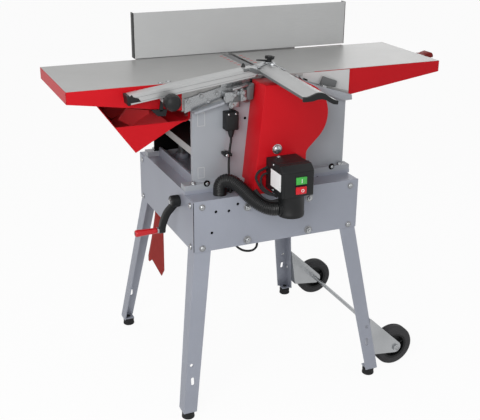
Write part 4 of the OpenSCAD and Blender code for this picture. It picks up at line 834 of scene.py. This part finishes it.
def red_edges(name, body, way, z):
    """A thin red sheet over a table's two long edges and its end."""
    bend, end, sheet, top, low = 235.2, 518.8, 0.8, z - 0.6, z - 30
    edges = Piece(name)
    outline = [(way * bend, top), (way * end, top), (way * end, low), (way * bend, z - 71)]
    for y in (-145, 145.8):
        edges.plate(outline, y, sheet)
    x0, x1 = sorted((way * (end - sheet), way * end))
    edges.block((x0, -145.8, low), (x1, 145.8, top))
    if way > 0:
        edges.block((130, -145.6, z - 1.5), (bend, -145, z - 0.4))
    edges.done("red", body)


class PLANER_OT_tables(Operator):
    """Paints the table lips and edges red and fits the strip along the fence"""

    bl_idname = "planer.tables"
    bl_label = "Table lips"

    def execute(self, context):
        for table, body, x, z in (("outfeed", "frame", -31, TABLE_Z), ("infeed", "infeed", 27.2, INFEED_Z)):
            table_lips(table, body, x, z)
        red_edges("outfeed_edges", "frame", -1, TABLE_Z)
        red_edges("infeed_edges", "infeed", 1, INFEED_Z)
        strip = Piece("table_strip").block((-262, 145.4, 860.8), (12, 149.6, 868.5), 0.4, 1)
        strip.block((-258, 157.6, 848), (226, 160, 868.6), 0.4, 1)
        strip.block((226, 157.6, 848), (384, 160, 864.6), 0.4, 1).done("ground")
        # Partly painted light: a paler sheet on the infeed table's side, its own pale paint made lighter for
        # the light on it.
        side = [(96, 864), (234.6, 864), (234.6, 806), (96, 846)]
        Piece("infeed_side_pale_lit").plate(side, -145.05, 0.5).done("pale", "infeed")
        # Painted shade: a thin near-black sheet over the thicknesser table's top.
        top = Piece("thicknesser_top_shade").block((-195.4, -125.4, 684.6), (195.4, 125.4, 685.2), 0.1, 1)
        top.done("painted_shade_iron", "lift_table")
        rest = [(538, 858), (554, 863.6), (564, 866), (570, 864), (574.2, 857), (574.2, 851), (562, 850)]
        Piece("lever_rest").plate(rest, -8, 34, 2.0).done("lever", "lever")
        screws, rings = Piece("table_screws"), Piece("table_sinks")
        for x, y in ((-285.3, -135), (-262.6, -127)):
            rings.rod((x, y, TABLE_Z - 1), (x, y, TABLE_Z + 0.15), 7.2, 0.1, 32)
            screws.dome((x, y, TABLE_Z), UP, 5.2, 1.6)
        screws.done("zinc")
        rings.done("block")
        return {"FINISHED"}


class PLANER_OT_fence(Operator):
    """Caps the fence's ends and lines its foot"""

    bl_idname = "planer.fence"
    bl_label = "Fence caps"

    def execute(self, context):
        caps = Piece("fence_caps")
        for x in (-263.6, 383.6):
            caps.block((x, 149.4, 870), (x + 2, 173, 992.6), 0.8)
        caps.done("black", "fence")
        foot = Piece("fence_foot").block((-258, 150.4, 868.95), (222, 156, 870.6), 0.3, 1)
        foot.done("steel", "fence")
        return {"FINISHED"}


def guard_wave(rise):
    """The upper line of the guard's wave, from its left wing to its right one."""
    wave = ((-41, 9), (-34, 9.2), (-27, 11.4), (-20, 15), (-13, 18.6), (-6, 20.2), (2, 20), (9, 17.8),
            (17, 13.4), (25, 8.8), (33, 5), (41, 3.6))
    return [(x, z + rise) for x, z in wave]


def guard_band(high, low):
    """Outline of a waved band between two rises."""
    return guard_wave(high) + guard_wave(low)[::-1]


def guard_profile():
    sheet = Piece("guard_sheet", *GUARD)
    sheet.plate(guard_band(0, -3.4), 20, 310, 0.6, 1, 50)
    sheet.rod((-8, -16, 19.6), (-8, -16, 20.6), 5.4, 0.3, 24)
    sheet.done("guard", "guard", "guard_profile")
    # Painted shade: the guard's side wall is anodised like the sheet, given the deep grey of the cast blocks
    # for the shade on it.
    side = Piece("guard_side_shade", *GUARD)
    side.block((-42.2, -289.9, 3), (-40.9, 19.6, 8.8), 0.3, 1).done("block", "guard", slot="anodised")
    low = [(42, -4.6), (31, -4), (22, -0.4), (12, 4.6), (2, 6.4), (-8, 5.4), (-20, 1), (-42, -1.4)]
    top = guard_wave(0.5)
    cap = Piece("guard_cap", *GUARD)
    cap.plate([(-42, top[0][1]), *top[1:-1], (42, top[-1][1]), *low], -290, 8, 1.0, 2, 50)
    cap.done("black", "guard")


def arm_trim():
    cap = Piece("arm_cap", *ARM)
    cap.block((-327.4, -0.8, -11.8), (-320, 34.8, 11.8), 1.4).done("black", "arm")
    patch = [(-384, 839), (-352, 841.6), (-357.5, 850), (-369, 853.4), (-375, 860), (-383.6, 849)]
    Piece("arm_patch").plate(patch, -188.8, 0.8, 0.2, 1).done("black", "arm")
    groove = Piece("arm_groove", *ARM)
    for z in (3.4, -7.2):
        groove.block((-319, -0.5, z), (-2, 0.4, z + 0.8), 0.1, 1)
    groove.done("steel", "arm")


def guard_clamp():
    bed = Piece("clamp_bed", *GUARD)
    bed.plate(guard_band(3.6, 0.8), 38, 24, 0.5, 1, 50)
    bed.prism(guard_band(-5, -8), (0, 37, 0), (0.96, 0, 0), UP, 30, 0.5, 1, 50)
    for x, z in ((-38, 10.6), (30, 8)):
        bed.block((x, 2, z), (x + 8, 37, z + 2.8), 0.6, 1)
    bed.block((-13, 14, 19.4), (12, 39, 24.6), 1.2)
    bed.bolt((2, 8, 20), UP, 6.4, 3, 8.4)
    bed.rod((0, 28, 20.4), (0, 28, 33), 4, 0.4, 24)
    bed.done("zinc", "arm", "guard_clamp")
    Piece("clamp_block", *ARM).block((-1, 0, -11), (9, 34, 11), 2).done("zinc", "arm")
    outline = [(-78, 896), (-74, 900.6), (-66, 899.4), (-47, 890.6), (-45, 887), (-50, 883.4),
               (-62, 886), (-76, 892)]
    lever = Piece("clamp_lever").plate(outline, -187.6, 7, 1.6)
    lever.rod((-90, -190, 895), (-76, -190, 895.6), 3.8, 1, 20).done("block", "arm")
    Piece("clamp_stop").rod((-77, -156, 895), (-77, -156, 905), 6, 0.6, 24, 2.4).done("black", "arm")


def guard_knobs():
    stem_y = 28
    thumb = Piece("thumb_knob", *GUARD)
    thumb.turned((0, stem_y, 25), UP, [(4.1, 0), (6, 0), (6.4, 1), (6, 4), (7, 6), (9, 7), (9, 13),
                                       (7, 14.4), (0, 14.4)], 30)
    for i in range(6):
        c, s = math.cos(math.pi * i / 3), math.sin(math.pi * i / 3)
        thumb.rod((9 * c, stem_y + 9 * s, 31), (9.6 * c, stem_y + 9.6 * s, 38.4), 3.2, 0.8, 18, 3.8)
    lever = [(-5, -3), (-14, -3.4), (-30, -2), (-36, 0.4), (-30, 3.4), (-14, 4), (-5, 3)]
    thumb.prism(lever, (0, stem_y, 25), RIGHT, BACK, 3.4, 0.9)
    thumb.done("black", "thumb_knob", "clamp_knob")
    profile = [(5.1, 0), (7, 0), (7, 12), (9, 20), (8.4, 26), (12.6, 29), (17.4, 34), (20.4, 41),
               (21.4, 49), (20.4, 56.6), (17.4, 63), (11.6, 68.4), (5, 70.4), (0, 70.6)]
    ball = Piece("ball_knob").turned((-283, -163.4, 838.6), FRONT, profile, 14)
    ball.done("black", "arm_knob", "guard_knob", smooth_angle=18)


class PLANER_OT_guard(Operator):
    """Builds the guard's sheet and cap, its clamp, the knobs and the arm's end"""

    bl_idname = "planer.guard"
    bl_label = "Guard"

    def execute(self, context):
        guard_profile()
        arm_trim()
        guard_clamp()
        guard_knobs()
        return {"FINISHED"}


def side_rail(plated):
    plated.plate([(-230.5, 791), (-133, 821), (-107.4, 848), (-120, 852), (-230, 826)], -145, 5, 0.8)
    for x, z in ((-187, 832), (-222, 821), (-169, 816), (-146, 834)):
        plated.bolt((x, -150, z), FRONT, 5, 4.5, 7.4)
    plated.rod((-283, -145, 838.6), (-283, -177.3, 838.6), 4.95, 0.6, 28)


def side_block(plated):
    plated.block((-134, -150, 836), (-56, -147.6, 862), 0.6, 1)
    for low, high in (((-90, -173, 813), (-74, PLATE_Y, 842)),
                      ((-128, -164, 810.6), (-90, PLATE_Y, 837.2)),
                      ((-118, -168, 799), (-92, -150, 812))):
        plated.block(low, high, 1.6)
    plated.rod((-98, -161, 837), (-98, -161, 851), 6, 1, 24)
    plated.rod((-112, -170, 845), (-70, -168, 853), 4.6, 1, 20)
    for p in ((-81, -173, 821), (-84, -173, 836), (-112.8, -168, 804), (-104, -164, 830)):
        plated.bolt(p, FRONT, 5.6, 5, 7.4)
    plated.bolt((-82, -161, 842), UP, 6, 4.5, 8)
    plated.rod((-126, -158, 812), (-126, -158, 826), 4, 0.8, 20)


def way_clips(plated):
    slope = math.radians(22)
    along = Vector((math.cos(slope), 0, -math.sin(slope)))
    square = Vector((math.sin(slope), 0, math.cos(slope)))
    outline, wide = [(0, 0), (12, 0), (12, 4.4), (10, 6), (0, 6)], 16.6
    for x, z in ((145, 827.7), (201, 805.1)):
        foot = Vector((x, -165, z)) + Vector((0, wide, 0))
        plated.prism(outline, foot, along, square, wide, 0.6, 1)
    for x, z in ((77, 857.6), (90, 853.4)):
        plated.bolt((x, PLATE_Y, z), FRONT, 4, 4, 5)


def way_castings():
    """Cast blocks at the two ways, the slots beside them drawn in painted shade, the way's bar and a roller's
    rim.
    """
    blocks = Piece("way_blocks")
    for outline, y, depth, edge in (
            ([(-65, 814), (-56, 817), (-54, 856), (-73, 847), (-74, 818)], PLATE_Y, 26, 1.6),
            ([(-112, 802), (-88, 798), (-88, 822), (-99, 833)], -164.2, 1.6, 0.5),
            ([(143.5, 833), (189.7, 821), (193.9, 837.6), (152.3, 853)], -147.6, 7, 1.6)):
        blocks.plate(outline, y, depth, edge)
    blocks.done("block")
    # Painted shade: thin near-black sheets for the slots.
    slots = Piece("painted_shade_slots")
    for x, z in ((102.6, 846.9), (140, 827), (168, 817), (204, 806)):
        slots.prism([(-6, 1.6), (6, -3.2), (6, 0.6), (-6, 5.4)], (x, -147.8, z), RIGHT, UP, 0.8)
    slots.done("painted_shade")
    bar = [(98, 843), (233, 800.6), (235, 787), (212, 786), (98, 832)]
    Piece("way_bar").plate(bar, -148.2, 19, 1.2).done("plate")
    Piece("roller_rim").rod((199, -128, 757), (199, -135.6, 757), 31.5, 1, 48).done("red")


class PLANER_OT_brackets(Operator):
    """Builds the plated rail, the clamp block, the way clips and the guard's pivot"""

    bl_idname = "planer.brackets"
    bl_label = "Brackets"

    def execute(self, context):
        plated = Piece("side_fittings")
        side_rail(plated)
        side_block(plated)
        way_clips(plated)
        plated.done("plated", "frame", "side_brackets")
        way_castings()
        pivot = Piece("pivot_bracket")
        pivot.plate([(-290, 846), (-281, 846), (-288, 803), (-298, 803)], -152, 6, 1.2)
        pivot.plate([(-317.7, 809.6), (-302, 793), (-281, 791), (-277, 807.8)], -149, 9, 1.0)
        pivot.done("black")
        return {"FINISHED"}


def hollow(back_y, floor_z, sheet):
    """Opens the active piece at its back and its floor, then gives the sheet its thickness."""
    piece = bpy.context.object
    set_mode("EDIT")
    bpy.ops.mesh.select_mode(type="FACE")
    bpy.ops.mesh.select_all(action="DESELECT")
    set_mode("OBJECT")
    back, floor = at(0, back_y, 0).y, at(0, 0, floor_z).z
    for face in piece.data.polygons:
        face.select = abs(face.center.y - back) < 1e-5 or abs(face.center.z - floor) < 1e-5
    set_mode("EDIT")
    bpy.ops.mesh.delete(type="FACE")
    set_mode("OBJECT")
    wall = piece.modifiers.new("wall", "SOLIDIFY")
    wall.thickness = sheet * MM
    wall.offset = -1
    bpy.ops.object.modifier_apply(modifier=wall.name)


class PLANER_OT_cover(Operator):
    """Folds the belt cover and fits its cap screw"""

    bl_idname = "planer.cover"
    bl_label = "Belt cover"

    def execute(self, context):
        back_y, floor_z = -148.2, 582.2
        outline = [(-48, 861.6), (-76, floor_z), (70, floor_z), (70, 676), (72, 684), (77, 690),
                   *arc(44, 776.6, 85, -45, 90, 18)]
        cover = Piece("cover_shell").plate(outline, back_y, 79.8)
        hollow(back_y, floor_z, 2.5)
        round_edges(5, 3, 60)
        cover.done("red", "frame", "belt_cover", smooth_angle=40)
        cap = [(0, -1), (13, -1), (13, 1.4), (11, 1.8), (10.4, 4), (8.4, 6.6), (5, 8), (0, 8.4)]
        Piece("cover_screw").turned((-13, -228, 697), FRONT, cap, 32).done("zinc")
        return {"FINISHED"}


class PLANER_OT_body(Operator):
    """Adds the small fittings of the body's front: bolts, holes drawn in painted shade, clip and plain plate
    frames, and a painted shade sheet inside the body
    """

    bl_idname = "planer.body"
    bl_label = "Body fittings"

    def execute(self, context):
        ring_y, ring_xs = -165.6, (-178, 183)
        # Painted shade: holes drawn as thin near-black discs.
        painted_shade = Piece("painted_shade_holes").rod((-66.7, -148.3, 762.3), (-66.7, -147, 762.3), 3.6, 0.2, 24)
        for x in ring_xs:
            painted_shade.rod((x, ring_y, FOOT_Z), (x, -164, FOOT_Z), 8.6, 0.3, 32)
        painted_shade.rod((141, -165.5, 578.6), (141, -164, 578.6), 4.6, 0.2, 24)
        for x, z in ((-175.3, 548), (-140, 545.4), (-115.4, 560.7), (-186.4, 492.3)):
            painted_shade.rod((x, -217.6, z), (x, -216.4, z), 6.4, 0.0, 24)
        # Painted shade: a near-black sheet on the rear plate's inner face, for the shade inside the body.
        painted_shade.block((-220, 133.4, 608), (220, 135.6, 766), 0.3, 1)
        # Painted shade: a near-black strip down the stand's front left corner.
        painted_shade.block((-236.3, -220.35, 446), (-234.7, -219.6, 580), 0.1, 1).done("painted_shade")
        bolts = Piece("front_bolts")
        for x in ring_xs:
            bolts.bolt((x, ring_y, FOOT_Z), FRONT, 5, 3.6)
        bolts.bolt((-124, PLATE_Y, 678.4), FRONT, 5, 4, 7)
        bolts.dome((-128.4, -180, 679), FRONT, 4.6, 2.6)
        bolts.dome((269.5, 270.4, 150), FRONT, 8, 5)
        bolts.dome((282.2, 267.5, 100.8), LEFT, 8, 5)
        for x, z in ((-129.5, 597), (-118.4, 594)):
            bolts.dome((x, -186, z), FRONT, 3, 2)
        bolts.done("zinc")
        frames = Piece("plate_frames")
        for low, high in (((-196, 753), (-176, 788)), ((-196, 616), (-178, 645))):
            frames.border(low, high, -148.25, -147.6, 1.1, 1.1, 0.1)
        frames.done("pale", slot="plate_paint")
        clamp = Piece("cord_clamp").block((-140, -186, 583), (-108, -168, 600), 3)
        clamp.block((-134, -180, 675), (-114, -150, 683), 2).done("black")
        return {"FINISHED"}


CAMERA = {"azimuth": -24.03, "elevation": 21.24, "roll": 0.7, "distance": 2440.5,
          "target": (0, 0, 467), "lens": 64.38, "shift": (-0.0088, -0.0143)}
# Lights: name, place, aim, size in metres, power in watts
LIGHTS = (("key", (-1150, -1350, 1400), (0, 0, 700), 1.1, 24),
          ("fill", (1900, -1700, 1500), (0, 0, 600), 2.0, 5),
          ("top", (-300, 500, 2600), (0, 0, 700), 2.2, 9),
          ("rim", (1300, 1250, 1350), (350, 0, 850), 0.6, 1.8))
FLOOR_GLOW = 0.94
SKY_LIGHT = 0.4


def seen_directly(tree):
    """Socket that is 1 for camera, glossy and transmission rays."""
    path = add(tree, "LightPath")
    total = path.outputs["Is Camera Ray"]
    for name in ("Is Glossy Ray", "Is Transmission Ray"):
        most = add(tree, "Math")
        most.operation = "MAXIMUM"
        link(total, most.inputs[0])
        link(path.outputs[name], most.inputs[1])
        total = most.outputs["Value"]
    return total


def set_camera(context):
    a, e, roll = (math.radians(CAMERA[k]) for k in ("azimuth", "elevation", "roll"))
    back = Vector((math.sin(a) * math.cos(e), -math.cos(a) * math.cos(e), math.sin(e)))
    level = Vector((math.cos(a), math.sin(a), 0))
    top = back.cross(level)
    right = math.cos(roll) * level + math.sin(roll) * top
    up = math.cos(roll) * top - math.sin(roll) * level
    bpy.ops.object.camera_add()
    camera = bpy.context.object
    place = Matrix((right, up, back)).transposed().to_4x4()
    place.translation = at(*CAMERA["target"]) + back * CAMERA["distance"] * MM
    camera.matrix_world = place
    camera.data.sensor_width = 36
    camera.data.lens = CAMERA["lens"]
    camera.data.shift_x, camera.data.shift_y = CAMERA["shift"]
    context.scene.camera = camera


def lay_floor():
    select_none()
    bpy.ops.mesh.primitive_plane_add(size=60, location=(0, 0, -0.0005))
    floor = bpy.context.object
    floor.name = "floor"
    material, tree, shader = nodes_of("pale_floor")
    put(shader, {"Base Color": (0.86, 0.86, 0.86, 1), "Roughness": 0.9})
    glow, mix = add(tree, "Emission"), add(tree, "MixShader")
    share = add(tree, "Math", {1: FLOOR_GLOW})
    share.operation = "MULTIPLY"
    link(seen_directly(tree), share.inputs[0])
    link(share.outputs["Value"], mix.inputs["Fac"])
    link(shader.outputs["BSDF"], mix.inputs[1])
    link(glow.outputs["Emission"], mix.inputs[2])
    link(mix.outputs["Shader"], tree.nodes["Material Output"].inputs["Surface"])
    floor.data.materials.append(material)


def set_world(context):
    world = bpy.data.worlds.new("studio")
    world.use_nodes = True
    tree = world.node_tree
    sky = tree.nodes["Background"]
    put(sky, {"Color": (1, 1, 1, 1)})
    link(ranged(tree, seen_directly(tree), SKY_LIGHT, 1.0, 0, 1), sky.inputs["Strength"])
    context.scene.world = world


def hang_lights():
    for name, place, aim, size, power in LIGHTS:
        bpy.ops.object.light_add(type="AREA", location=at(*place))
        light = bpy.context.object
        light.name = name
        light.rotation_euler = (at(*aim) - at(*place)).to_track_quat("-Z", "Y").to_euler()
        light.data.size = size
        light.data.energy = power


class PLANER_OT_stage(Operator):
    """Sets the floor, the lights, the background and the camera"""

    bl_idname = "planer.stage"
    bl_label = "Stage"

    def execute(self, context):
        set_camera(context)
        lay_floor()
        set_world(context)
        hang_lights()
        context.scene.view_settings.view_transform = "Standard"
        return {"FINISHED"}


class PLANER_PT_panel(Panel):
    """Lists the steps that dress the machine"""

    bl_idname = "PLANER_PT_panel"
    bl_label = "Planer thicknesser"
    bl_space_type = "VIEW_3D"
    bl_region_type = "UI"
    bl_category = "Planer"

    def draw(self, context):
        for step in STEPS:
            self.layout.operator(step.bl_idname)
        for group in (context.scene.planer_colours, context.scene.planer_sizes):
            for name in group.__annotations__:
                self.layout.prop(group, name)


STEPS = (PLANER_OT_stage, PLANER_OT_finishes, PLANER_OT_cords, PLANER_OT_bolts, PLANER_OT_feet,
         PLANER_OT_wheels, PLANER_OT_crank, PLANER_OT_switch, PLANER_OT_limit_switch, PLANER_OT_hood,
         PLANER_OT_tables, PLANER_OT_fence, PLANER_OT_guard, PLANER_OT_brackets, PLANER_OT_cover,
         PLANER_OT_body)
CLASSES = (PlanerColours, PlanerSizes, *STEPS, PLANER_PT_panel)


def register():
    for cls in CLASSES:
        bpy.utils.register_class(cls)
    bpy.types.Scene.planer_colours = PointerProperty(type=PlanerColours)
    bpy.types.Scene.planer_sizes = PointerProperty(type=PlanerSizes)


def unregister():
    del bpy.types.Scene.planer_sizes
    del bpy.types.Scene.planer_colours
    for cls in reversed(CLASSES):
        bpy.utils.unregister_class(cls)


def main():
    register()
    for step in STEPS:
        group, name = step.bl_idname.split(".")
        getattr(getattr(bpy.ops, group), name)()


if __name__ == "__main__":
    main()
